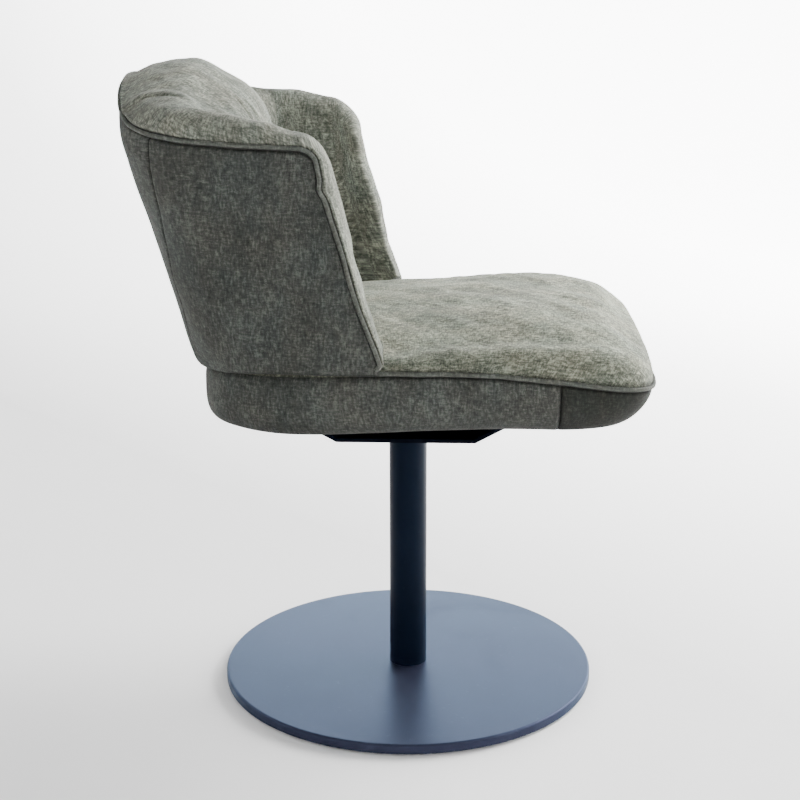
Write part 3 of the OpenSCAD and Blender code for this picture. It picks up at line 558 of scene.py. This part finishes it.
rings.append(count + (len(wall_t) + 1) * len(rim) + rim)
faces = [grid_faces(crown_steps, crown_steps)]
for above, below in zip(rings[:-1], rings[1:]):
    faces.append(np.stack([above, below, np.roll(below, -1), np.roll(above, -1)], -1))
faces.append(grid_faces(crown_steps, crown_steps, rings[-1].min())[:, ::-1])
points = np.concatenate([crown.reshape(-1, 3), walls.reshape(-1, 3), under_edge, on_board])
spread = 1 + (crown_top - points[:, 2:]) / np.maximum(0.05, np.hypot(points[:, :1], points[:, 1:2]))
# Painted shade: the crown's colour is painted darker within a few centimetres of its left and right edges,
# whose steep sides are in shade, and darkest along the cord; its walls and underside are painted fully dark.
steep = np.abs(np.cos(crown_angle))
unshaded_fade = 0.0031
steep_side_shade = np.interp(edge_off, (0.001, 0.004, 0.032), (0.0013, 0.0015, unshaded_fade))
painted_shade_fade = steep * steep_side_shade + (1 - steep) * unshaded_fade
painted_shade_fade = np.minimum(painted_shade_fade, 2.2 * edge_off + 0.0006)
painted_shade_fade = np.concatenate([painted_shade_fade.reshape(-1), np.zeros(len(points) - edge_off.size)])
cushion = new_piece("seat_cushion", points, np.concatenate(faces), seat_cloth_lit, points[:, :2] * spread,
                    painted_shade_fade)
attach(cushion, "seat")
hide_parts("seat_foam", "seat_top_cover")


# Seat borders: one piece across the front and one round the sides and the rear, sewn together on both
# sides and along the piping, then pulled under the board and stapled there.
# The borders' copies are painted darker, as painted shade: darkest across the front, which is turned from the
# light.
front_cloth_shaded = chenille("chenille_front_border_shaded", 0.135, 0.9, 1.0)
side_cloth_shaded = chenille("chenille_sides_shaded", 0.285, 1.05, 1.06)
border_rows = 40
border_columns = 620
border_thick = 0.004
border_seam_y = -0.185

border_angle, border_length = even_angles(border_columns)
left_side = np.cos(border_angle) > 0
from_seam = np.abs(seat_outline(border_angle)[1] - border_seam_y)
seam_left = np.argmin(np.where(left_side, from_seam, 9))
seam_right = np.argmin(np.where(left_side, 9, from_seam))


def upright(t):
    """Directions of the border's columns at a share t of its depth, which keep the two seams upright."""
    angle = border_angle.copy()
    for middle, forward in ((border_angle[seam_left], 1), (border_angle[seam_right], -1)):
        near = middle + np.linspace(-0.35, 0.35, 701)
        seam_y = seat_outline(middle)[1]
        turn = np.interp(forward * seam_y, forward * border_place(near, t)[:, 1], near) - middle
        off = (border_angle - middle + np.pi) % (2 * np.pi) - np.pi
        angle += turn * np.exp(-(off / 0.32) ** 2)
    return angle


border = np.stack([border_place(upright(t), t) for t in np.linspace(0, 1, border_rows) ** 1.15])
border_normal = normals(border, True)
if border_normal[5, 0, 0] < 0:
    border_normal = -border_normal
drop = way_along(border)
to_hem = drop[-1] - drop
round_way = np.arange(border_columns) / border_columns * border_length
seam_way = np.abs(round_way[:, None] - round_way[[seam_left, seam_right]]).min(1)
border_cut = np.stack([np.broadcast_to(round_way, drop.shape), drop], -1)
puff = 0.0012 * np.sin(np.pi * clip01(drop / drop[-1])) * (1 + 0.6 * swell(border, 0.06, 8))
at_seam = rounded(seam_way, 0.004, 0.003) * clip01(to_hem / 0.05)
depth = rounded(drop, 0.006, 0.0052) + at_seam - puff
border = border - border_normal * np.minimum(depth, 0.0054)[..., None]
# Painted shade: the border is painted darker under the piping, at its two seams and more and more towards the
# hem, where shade falls under the seat.
border_shade_fade = np.minimum(np.minimum(0.65 * drop, 1.6 * seam_way), 0.0001 + 0.05 * to_hem)


def border_piece(name, first, last, cloth, node):
    """The part of the border from one seam's column round to the other's."""
    columns = np.arange(first, last + 1 if first < last else last + border_columns + 1) % border_columns
    piece = closed_sheet(name, border[:, columns], border_normal[:, columns], border_thick, cloth,
                         border_cut[:, columns], border_shade_fade[:, columns])
    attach(piece, "seat")
    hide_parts(node)


border_piece("front_border", seam_right, seam_left, front_cloth_shaded, "seat_front_border")
border_piece("side_border", seam_left, seam_right, side_cloth_shaded, "seat_side_border")


# Dust cover: one piece of the black cloth, cut out round the saddle's flanges. It sags a little between
# its staples and puckers along its edge.
cover_half_w = 0.184
cover_half_l = 0.2083
cover_z = 0.4078
cover_rows = 60
cover_thick = 0.0009
flange_y = 0.1705
flange_turn = 1.0840

flange_corners = (flange_turn, np.pi - flange_turn, np.pi + flange_turn, 2 * np.pi - flange_turn)
cover_angle = np.sort(np.concatenate([np.linspace(0, 2 * np.pi, 360, endpoint=False)]
                                     + [[corner - 0.001, corner + 0.001] for corner in flange_corners]))
cover_reach = ((np.abs(np.cos(cover_angle)) / cover_half_w) ** board_square
               + (np.abs(np.sin(cover_angle)) / cover_half_l) ** board_square) ** (-1 / board_square)
over_flange = np.abs(np.sin(cover_angle)) > math.sin(flange_turn)
flange_reach = np.minimum(cover_reach, flange_y / np.maximum(1e-9, np.abs(np.sin(cover_angle))))
cover_reach = np.where(over_flange, flange_reach, cover_reach)
cover_share = np.linspace(0.004, 1, cover_rows)[:, None]
cover = np.stack([cover_share * cover_reach * np.cos(cover_angle),
                  cover_share * cover_reach * np.sin(cover_angle),
                  np.full((cover_rows, len(cover_angle)), cover_z)], -1)
to_edge = (1 - cover_share) * cover_reach
cover_puckers = np.sin(cover_angle * 46) * np.exp(-to_edge / 0.012)
cover_sag = 0.0011 * clip01(to_edge / 0.03) * (1 + 0.5 * swell(cover, 0.06, 41))
cover[..., 2] -= cover_sag + 0.0004 * cover_puckers
down = np.broadcast_to(np.array([0.0, 0.0, -1.0]), cover.shape)
under_cover = closed_sheet("dust_cover", cover, down, cover_thick, dust_cloth, cover[..., :2], wrap=True)
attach(under_cover, "seat")
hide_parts("seat_dust_cover")


# Piping: a cord sewn into a folded strip of the same cloth, round the seat where its cover meets the
# borders, and along the top and the arm fronts of the back.
# The piping's copy is painted darker than the pads', as painted shade.
welt_cloth_shaded = chenille("chenille_piping_shaded", 0.5, 0.7, 1.03)
cord_r = 0.0024
flange_start = 0.0040
flange_end = 0.0062
flange_half = 0.0044


def cap_ends(mesh, rings):
    """Closes a mesh with one face over each ring of its points."""
    shape = bmesh.new()
    shape.from_mesh(mesh)
    shape.verts.ensure_lookup_table()
    for ring in rings:
        shape.faces.new([shape.verts[i] for i in ring])
    bmesh.ops.recalc_face_normals(shape, faces=shape.faces)
    shape.to_mesh(mesh)
    shape.free()


def welt(name, path, outward, wrap, node):
    """A cord along a path of points, with the strip's flange tucked in on the side away from outward."""
    n = len(path)
    across = np.roll(path, -1, 0) - np.roll(path, 1, 0) if wrap else np.gradient(path, axis=0)
    forward = across / np.linalg.norm(across, axis=1, keepdims=True)
    out = outward - (outward * forward).sum(1, keepdims=True) * forward
    out /= np.linalg.norm(out, axis=1, keepdims=True)
    up = np.cross(forward, out)
    way = way_along(path)
    turns = np.radians(np.linspace(-130, 130, 13))
    section_out = np.append(cord_r * np.cos(turns), (-flange_start, -flange_end, -flange_end, -flange_start))
    section_up = np.append(cord_r * np.sin(turns), (flange_half, flange_half, -flange_half, -flange_half))
    # Painted shade: the flange and the cord's inner side are painted dark, as the shade in the crevice beside
    # the cord.
    painted_shade_fade = np.where(np.abs(section_out) > cord_r, 0, 0.01 * clip01((section_out / cord_r + 0.5) * 2))
    section_way = np.cumsum(np.hypot(np.diff(section_out, prepend=0), np.diff(section_up, prepend=0)))
    sides = len(section_out)
    wave = 0.00025 * np.sin(way / 0.011 + 1.3 * np.sin(way / 0.07))
    swollen = (1 + 0.03 * np.sin(way / 0.006))[:, None, None]
    ring = path[:, None] + swollen * (section_out[None, :, None] * out[:, None]
                                      + section_up[None, :, None] * up[:, None])
    ring += (wave[:, None] * up)[:, None]
    points = ring.reshape(-1, 3)
    cut = np.stack([np.broadcast_to(way[:, None], ring.shape[:2]),
                    np.broadcast_to(section_way[None, :], ring.shape[:2])], -1).reshape(-1, 2)
    faces = grid_faces(n, sides, 0, True)
    if wrap:
        ends = np.stack([(n - 1) * sides + np.arange(sides), (n - 1) * sides + (np.arange(sides) + 1) % sides,
                         (np.arange(sides) + 1) % sides, np.arange(sides)], -1)
        faces = np.concatenate([faces, ends])
    piece = new_piece(name, points, faces, welt_cloth_shaded, cut, np.tile(painted_shade_fade, n))
    if not wrap:
        cap_ends(piece.data, [list(range(sides)), list(range((n - 1) * sides, n * sides))])
    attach(piece, "seat")
    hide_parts(node)


welt_angle = even_angles(760)[0]
x, y = seat_outline(welt_angle, 0.0018)
path = np.stack([x, y, piping_height(seat_outline(welt_angle)[1])], -1)
outward = np.stack([x, y - seat_middle_y, 0 * x], -1)
welt("seat_welt", path, outward, True, "seat_piping")


# Backrest outside: three panels over wadding on the moulded shell, one behind and one on each side, sewn
# together down the corners and drawn tight over the shell. Their lower edge hangs over the seat's piping.
back_half_w = 0.264
back_depth = 0.226
back_lean = 17
outer_square = 2.6
inner_square = 5
arm_root = 0.050
arm_t = 0.057
arm_pace = 0.006
foot_z = 0.4905
lean_fade_z = 0.680
lean_fade_l = 0.110
arm_z = 0.749
back_rise = 0.059
arm_corner_r = 0.016
panel_thick = 0.0052
panel_inset = 0.0035
panel_rows = 90
path_end = 90 + 0.025 / arm_pace
corner_path = path_end - arm_corner_r / arm_pace


def rake(z):
    """How far the back leans to the rear at a height: evenly, and then less and less near its top."""
    t = np.clip(z - lean_fade_z, 0, lean_fade_l)
    rise = np.minimum(z, lean_fade_z) - foot_z + t - t * t / (2 * lean_fade_l)
    return math.tan(math.radians(back_lean)) * rise


def aside(c):
    """How far out to the side a path position lies, as a share of the half width."""
    return np.sin(np.radians(np.minimum(c, 90))) ** (2 / outer_square)


def tub_plan(c, z, half_w, depth, square):
    """Plan of one side of the tub: c is 0 behind, 90 where the arm begins, and then runs along the arm."""
    s = aside(c)
    y = arm_root + rake(z) + depth * np.maximum(0, 1 - s ** square) ** (1 / square)
    return np.stack([half_w * s, y - arm_pace * np.maximum(0, c - 90)], -1)


def outer_plan(c, z):
    return tub_plan(c, z, back_half_w, back_depth, outer_square)


def inner_plan(c, z):
    rise = z - foot_z
    bulge = 0.030 + 0.06 * rise
    depth = 0.142 + bulge + 0.1228 * rise - arm_root - rake(z)
    plan = tub_plan(c, z, back_half_w - arm_t, depth, inner_square)
    plan[..., 1] -= bulge * np.maximum(0, 1 - aside(c) ** 2) ** 1.2
    return plan


def tub_point(side, c, z, depth):
    """Point at a depth under the outer face; the side is -1 on the right arm and 1 on the left."""
    c, z, depth = np.broadcast_arrays(c, z, depth)
    outer = outer_plan(c, z)
    inward = inner_plan(c, z) - outer
    inward /= np.linalg.norm(inward, axis=-1, keepdims=True)
    plan = outer + depth[..., None] * inward
    return np.stack([side * plan[..., 0], plan[..., 1], z], -1)


def outer_normal(side, c, z):
    """Outward unit normal of the outer face."""
    c = np.maximum(c, 0.5)
    across = tub_point(side, c + 0.3, z, 0.0) - tub_point(side, c - 0.3, z, 0.0)
    up = tub_point(side, c, z + 0.001, 0.0) - tub_point(side, c, z - 0.001, 0.0)
    out = tub_point(side, c, z, -0.001) - tub_point(side, c, z, 0.0)
    normal = np.cross(up, across)
    normal /= np.linalg.norm(normal, axis=-1, keepdims=True)
    return normal * np.sign((normal * out).sum(-1, keepdims=True))


def arm_top(c):
    """Height of the piping along the top, which falls from the back to the arms."""
    fall = 0.0030 * np.exp(-((c - 50) / 17) ** 2) - 0.0042 * clip01((c - 66) / 26) ** 2
    fall = fall - 0.0020 * clip01((32 - c) / 16)
    return arm_z + back_rise * (1 - np.cos(np.pi * clip01(1 - c / 90) ** 2.4)) / 2 + fall


def edge(h):
    """Path position, height and outward direction of the piping, from 0 mid back to 17 at the foot."""
    turn = np.pi / 2 * np.clip((h - 9) / 3, 0, 1)
    down = np.clip((h - 12) / 5, 0, 1)
    top = arm_top(corner_path)
    c = np.where(h <= 9, corner_path * h / 9, corner_path + arm_corner_r * np.sin(turn) / arm_pace)
    z = np.where(h <= 9, arm_top(corner_path * h / 9), top - arm_corner_r * (1 - np.cos(turn)))
    z = np.where(h > 12, (top - arm_corner_r) * (1 - down) + (piping_rear_z + 0.0075) * down, z)
    out = np.where(h <= 9, 0, np.sin(turn))
    forward = np.interp(z, (0.494, 0.501, 0.520, 0.540, 0.565, 0.605, 0.625, 0.735),
                        (-0.0020, 0.0050, 0.0045, 0.0030, 0.0004, 0.0012, 0.0022, 0.0027))
    c = c + out * forward / arm_pace
    return c, z, out, np.where(h <= 9, 1, np.cos(turn))


def set_in(c):
    """How far the piping lies inside the outer face, behind, where the panel's edge is rolled in."""
    share = clip01((42 - c) / 24)
    return 0.0020 * share * share * (3 - 2 * share)


def kink(side, z):
    """How far the seam of the right arm's front is drawn back where the cord was caught in sewing."""
    return np.where(side < 0, 0.0036, 0) * np.exp(-((z - 0.699) / 0.008) ** 2)


def foot_path(h):
    late = clip01((h - 9) / 8)
    return path_end * np.where(h <= 9, 0.9 * (h / 9) ** 1.76, 0.9 + 0.1 * late)


fine_h = 17 * np.linspace(0, 1, 6001) ** 1.4
c, z, out, up = edge(fine_h)
edge_way = way_along(tub_point(1, c, z, 0 * c))
half_edge = edge_way[-1]
fine_c = np.linspace(0, path_end, 3001)
plan_way = way_along(outer_plan(fine_c, 0.6))


def column_at(way):
    """Column number at a distance along the piping from the middle of the back."""
    return np.interp(way, edge_way, fine_h)


def panel_place(side, h, t):
    """Point of a panel and its path position, a share t of the way from the piping to the hem."""
    c0, z0, out, up = edge(h)
    c1 = foot_path(h)
    behind = clip01((0.9 - np.minimum(c1, 90) / 90) / 0.6)
    low = piping_rear_z - 0.0003 - 0.0165 * behind * behind * (3 - 2 * behind)
    start_c = c0 - out * panel_inset / arm_pace
    c = start_c + (c1 - start_c) * t
    return tub_point(side, c, (z0 - up * panel_inset) * (1 - t) + low * t, 0.0), c


seam_way_at = np.interp(4.77, fine_h, edge_way)


def panel(name, ways, nodes):
    """One panel below the stretch of piping given by ways from its middle, for the nodes it stands for."""
    side = np.sign(ways)
    h = column_at(np.abs(ways))
    grid, c = panel_place(side, h[None, :], np.linspace(0, 1, panel_rows)[:, None])
    normal = outer_normal(side, c, grid[..., 2])
    drop = way_along(grid)
    to_hem = drop[-1] - drop
    seam = np.abs(np.abs(ways) - seam_way_at)
    flat_u = side * np.interp(c, fine_c, plan_way)
    lean = rake(grid[..., 2]) * clip01((c - 30) / 40)
    cut = np.stack([flat_u - side * lean, grid[..., 2]], -1)
    puff = 0.0014 * swell(grid, 0.09, 12) + 0.0005 * swell(grid, 0.03, 13)
    puff = puff * clip01(drop / 0.02) * clip01(to_hem / 0.02)
    puff += 0.0030 * np.exp(-((drop - 0.028) / 0.020) ** 2) * clip01(1.6 - c / 45) * clip01(drop / 0.01)
    depth = (rounded(drop, 0.006, 0.0055) + rounded(to_hem, 0.006, 0.0036)
             + rounded(seam, 0.0035, 0.0030) - puff)
    depth = np.clip(depth, -0.005, 0.0058) + rounded(drop, 0.012, 1.0) * set_in(c)
    grid = grid - normal * depth[..., None]
    grid[..., 1] += kink(side, grid[..., 2]) * np.exp(-(drop / 0.02) ** 2)
    # Painted shade: the panels are painted darker along the piping, at their corner seams and at the hem,
    # where shade falls in the crevices.
    painted_shade_fade = np.minimum(np.minimum(0.75 * drop, 1.4 * seam), 0.8 * to_hem)
    piece = closed_sheet(name, grid, normal, panel_thick, side_cloth_shaded, cut, painted_shade_fade)
    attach(piece, "seat")
    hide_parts(*nodes)


across_back = np.linspace(-seam_way_at, seam_way_at, 170)
panel("back_panel", across_back, ("back_outer_panel", "backrest_wadding"))
along_side = np.linspace(seam_way_at, half_edge, 190)
panel("left_panel", along_side, ("left_side_panel",))
panel("right_panel", -along_side[::-1], ("right_side_panel",))


# Backrest padding: one cover over foam, from the piping over the rolled edge and down the inside to the
# seat. The cloth is gathered in the inner corners, so it pleats there between the arms and the back.
# The pads' copy is painted a little darker than the seat's, as painted light and shade on the back's roll and
# inside.
pad_cloth_lit = chenille("chenille_pads_lit", 0.88, 1.35, 0.97)
pad_columns = 520
pad_rows = 170
roll_rows = 90
hidden_rows = 11
over_shell_depth = 0.0150
hidden_depth = 0.0196


def thickness(c, z):
    return np.linalg.norm(inner_plan(c, z) - outer_plan(c, z), axis=-1)


def roll_height(h):
    """How far the roll stands over the piping."""
    back = clip01(1 - edge(h)[0] / 90)
    down = clip01((h - 12) / 5)
    high = 0.016 + 0.005 * back + 0.014 * np.sin(np.pi * back ** 0.5)
    return 0.003 + (high - 0.003) * (1 - down) ** 1.5 - 0.0048 * np.exp(-((h - 11.0) / 1.5) ** 2)


def inner_foot(h):
    """Height at which the inside meets the seat."""
    p = inner_plan(foot_path(h), foot_z)
    return crown_at(p[..., 0], p[..., 1]) + 0.0006


def roll_drop(h):
    """How far the roll comes down on the inside."""
    c, z = edge(h)[:2]
    return np.minimum(0.6 * np.maximum(0, thickness(c, z) - 0.040), z - inner_foot(h) - 0.006)


def roll_place(side, h, turn):
    """Point of the roll and its path position, at a turn over it from 0 outside to pi inside."""
    c, z, out, up = edge(h)
    s = (1 - np.cos(turn)) / 2
    drop = roll_drop(h)
    high = roll_height(h) + np.where(side < 0, -0.0034, 0.0020) * np.exp(-((h - 14.1) / 0.75) ** 2)
    high = high + np.where(side < 0, 0, 0.0038) * np.exp(-((h - 8.7) / 0.9) ** 2)
    rise = seam_half + (high + drop * up * s) * np.sin(turn)
    slack = clip01((80 - c) / 45)
    slack = slack * slack * (3 - 2 * slack)
    shoulders = (0.0040 * np.exp(-((s - 0.06) / 0.075) ** 2) * clip01(s / 0.03)
                 + 0.0105 * np.exp(-((s - 0.73) / 0.16) ** 2) * clip01((1 - s) / 0.08))
    thick = thickness(c + out * rise / arm_pace, z + up * rise - drop * s)
    c = c + out * rise / arm_pace
    z = z + up * rise - drop * s - slack * shoulders
    start_in = set_in(c)
    return tub_point(side, c, z, start_in + s * (thick - start_in)), np.broadcast_to(c, z.shape)


def inner_place(side, h, t):
    """Point of the inside and its path position, a share t of the way from the roll down to the seat."""
    c, z, out, up = edge(h)
    c = (c + out * seam_half / arm_pace) * (1 - t) + foot_path(h) * t
    z = (z + up * seam_half - roll_drop(h)) * (1 - t) + inner_foot(h) * t
    return tub_point(side, c, z, thickness(c, z)), np.broadcast_to(c, z.shape)


pad_way = np.linspace(-half_edge, half_edge, pad_columns)
pad_side = np.where(pad_way < 0, -1.0, 1.0)
pad_h = column_at(np.abs(pad_way))
turns = np.linspace(0, np.pi, roll_rows)[:, None]
downs = np.linspace(0, 1, roll_rows)[1:, None]
roll, roll_c = roll_place(pad_side, pad_h[None, :], turns)
inner, inner_c = inner_place(pad_side, pad_h[None, :], downs)
section = np.concatenate([roll, inner])
section_c = np.concatenate([roll_c, inner_c])
section_way = way_along(section)
roll_way = section_way[roll_rows - 1]
roll_end_z = section[roll_rows - 1, :, 2]
pad = np.empty((pad_rows, pad_columns, 3))
pad_v = np.empty((pad_rows, pad_columns))
pad_c = np.empty((pad_rows, pad_columns))
for n in range(pad_columns):
    ways = np.linspace(0, section_way[-1, n], pad_rows)
    pad_v[:, n] = ways
    pad_c[:, n] = np.interp(ways, section_way[:, n], section_c[:, n])
    for axis in range(3):
        pad[:, n, axis] = np.interp(ways, section_way[:, n], section[:, n, axis])
plain_z = pad[..., 2].copy()
pad[..., 2] -= 0.003 * clip01((0.27 - pad[..., 1]) / 0.05) * clip01((pad[..., 2] - 0.72) / 0.06)
pad_normal = normals(pad)
middle = pad_normal[20, pad_columns // 2]
if middle[2] < 0:
    pad_normal = -pad_normal
c, z, out, up = edge(pad_h)
over_roll = np.minimum(pad_v, roll_way)
past_end = arm_pace * np.maximum(0, pad_c - path_end)
pad_u = pad_side * (np.interp(pad_c, fine_c, plan_way) + past_end + out * over_roll)
before_end = roll_end_z + roll_way - pad_v - plain_z
pad_w = plain_z + up * np.where(pad_v < roll_way, before_end, 0)


corner_pleats = [
    [(-.100, .246, .808), (-.108, .2376, .8009), (-.1141, .2245, .7915), (-.1204, .2155, .7809),
     (-.128, .208, .768), (-.140, .201, .748)],
    [(-.078, .238, .812), (-.084, .2281, .8059), (-.0893, .2168, .7951), (-.0966, .2088, .7838),
     (-.106, .201, .768), (-.120, .194, .745)],
    [(-.056, .233, .817), (-.0593, .2239, .811), (-.0625, .2102, .7963), (-.0634, .1985, .7814),
     (-.067, .190, .766), (-.076, .183, .742)],
    [(-.0475, .198, .785), (-.0468, .1905, .7754), (-.0453, .1842, .7632), (-.046, .178, .745)],
    [(-.148, .248, .794), (-.156, .2394, .7896), (-.1663, .2287, .7824), (-.175, .219, .772),
     (-.182, .211, .757)]]
top_crease = [(-.160, .331, .7735), (-.1537, .3237, .7797), (-.1458, .3168, .7862), (-.142, .3042, .7913),
              (-.1432, .2841, .7937), (-.1555, .262, .793), (-.166, .2508, .7909), (-.180, .240, .785)]
corner_valley = [(-.183, .270, .777), (-.196, .246, .780), (-.206, .226, .779), (-.210, .205, .770),
                 (-.204, .192, .745), (-.199, .184, .700), (-.195, .176, .640), (-.192, .168, .580)]
folded = pad.copy()
folded[..., 0] = -np.abs(pad[..., 0])
left_half = (pad[..., 0] > 0)[..., None]
folded += np.where(left_half, 0.004 * np.stack([swell(pad, 0.05, n) for n in (31, 32, 33)], -1), 0)
folds = np.zeros(pad_v.shape)
for line in corner_pleats:
    off, along = way_off(folded, line)
    taper = np.sin(np.pi * clip01(along * 0.9 + 0.08)) ** 0.7
    ridge = 0.0012 * np.exp(-((off - 0.0065) / 0.0035) ** 2)
    folds += taper * (ridge - 0.0030 * np.exp(-(off / 0.0030) ** 2))
off, along = way_off(folded, top_crease)
crease_x = [place[0] for place in top_crease]
crest_side = folded[..., 0] > np.interp(along, np.linspace(0, 1, len(crease_x)), crease_x)
taper = np.sin(np.pi * clip01(along * 0.94 + 0.03)) ** 0.6
folds += taper * np.where(crest_side, 0.0026 * np.exp(-((off - 0.008) / 0.009) ** 2), 0)
folds -= taper * 0.0014 * np.exp(-(off / 0.0040) ** 2)
off, along = way_off(folded, corner_valley)
folds -= 0.0045 * np.exp(-(off / 0.009) ** 2) * np.sin(np.pi * clip01(along * 0.9 + 0.05)) ** 0.7
near_corner = np.exp(-((pad_h - 10.2) / 1.9) ** 2)
gathers = np.sin(np.abs(pad_way) / 0.0016 + 1.2 * np.sin(pad_way / 0.013)) * (0.25 + near_corner)
folds += 0.0007 * gathers * np.exp(-pad_v / 0.011) * clip01(pad_v / 0.003)
bulge = (0.0020 * swell(pad, 0.08, 21) + 0.0008 * swell(pad, 0.025, 22)) * clip01(pad_v / 0.025)
seam_shape = (0.0010 * np.exp(-((pad_v - 0.0032) / 0.0018) ** 2) - 0.0008 * np.exp(-(pad_v / 0.0014) ** 2)
              - 0.0008 * np.exp(-((pad_v - 0.0075) / 0.0028) ** 2))
pad = pad + pad_normal * (bulge + seam_shape + folds)[..., None]
pad[..., 1] += kink(pad_side, pad[..., 2]) * np.exp(-(pad_v / 0.009) ** 2)
hidden_t = np.linspace(0, 1, hidden_rows + 1)[1:, None]
c0, z0, out, up = edge(pad_h)
foot_c = foot_path(pad_h)
over_shell = tub_point(pad_side, c0 - out * 0.001 / arm_pace, z0 - 0.001 * up, over_shell_depth)
hidden_c = (c0 - out * 0.003 / arm_pace) * (1 - hidden_t) + foot_c * hidden_t
hidden_z = (z0 - 0.003 * up) * (1 - hidden_t) + (inner_foot(pad_h) + 0.004) * hidden_t
hidden = tub_point(pad_side, hidden_c, hidden_z, hidden_depth)
ring = np.concatenate([pad, hidden[::-1], over_shell[None]])
ring_rows = len(ring)
faces = grid_faces(pad_columns, ring_rows, 0, True)
points = ring.transpose(1, 0, 2).reshape(-1, 3)
inside = ring_rows - pad_rows
flat_v = np.concatenate([pad_w, np.zeros((inside, pad_columns))])
flat_u = np.concatenate([pad_u, np.broadcast_to(pad_way, (inside, pad_columns))])
cut = np.stack([flat_u, flat_v], -1).transpose(1, 0, 2).reshape(-1, 2)
# Painted shade: the pad is painted darker along the piping, where shade falls in the crevice, and its hidden
# rows fully dark.
painted_shade_fade = np.concatenate([1.5 * pad_v + 0.0003, np.zeros((inside, pad_columns))]).T.reshape(-1)
back_pad = new_piece("back_pad", points, faces, pad_cloth_lit, cut, painted_shade_fade)
cap_ends(back_pad.data, [list(range(ring_rows)),
                         list(range((pad_columns - 1) * ring_rows, pad_columns * ring_rows))])
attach(back_pad, "seat")
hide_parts("backrest_foam", "backrest_inner_cover")

welt_way = np.linspace(-half_edge, half_edge, 900)
welt_side = np.where(welt_way < 0, -1.0, 1.0)
c, z, out, up = edge(column_at(np.abs(welt_way)))
path = tub_point(welt_side, c, z, -0.0011 + set_in(c))
path[:, 1] += kink(welt_side, z)
outward = path - tub_point(welt_side, c, z, 0.03 + 0 * c)
welt("back_welt", path, outward, False, "backrest_piping")
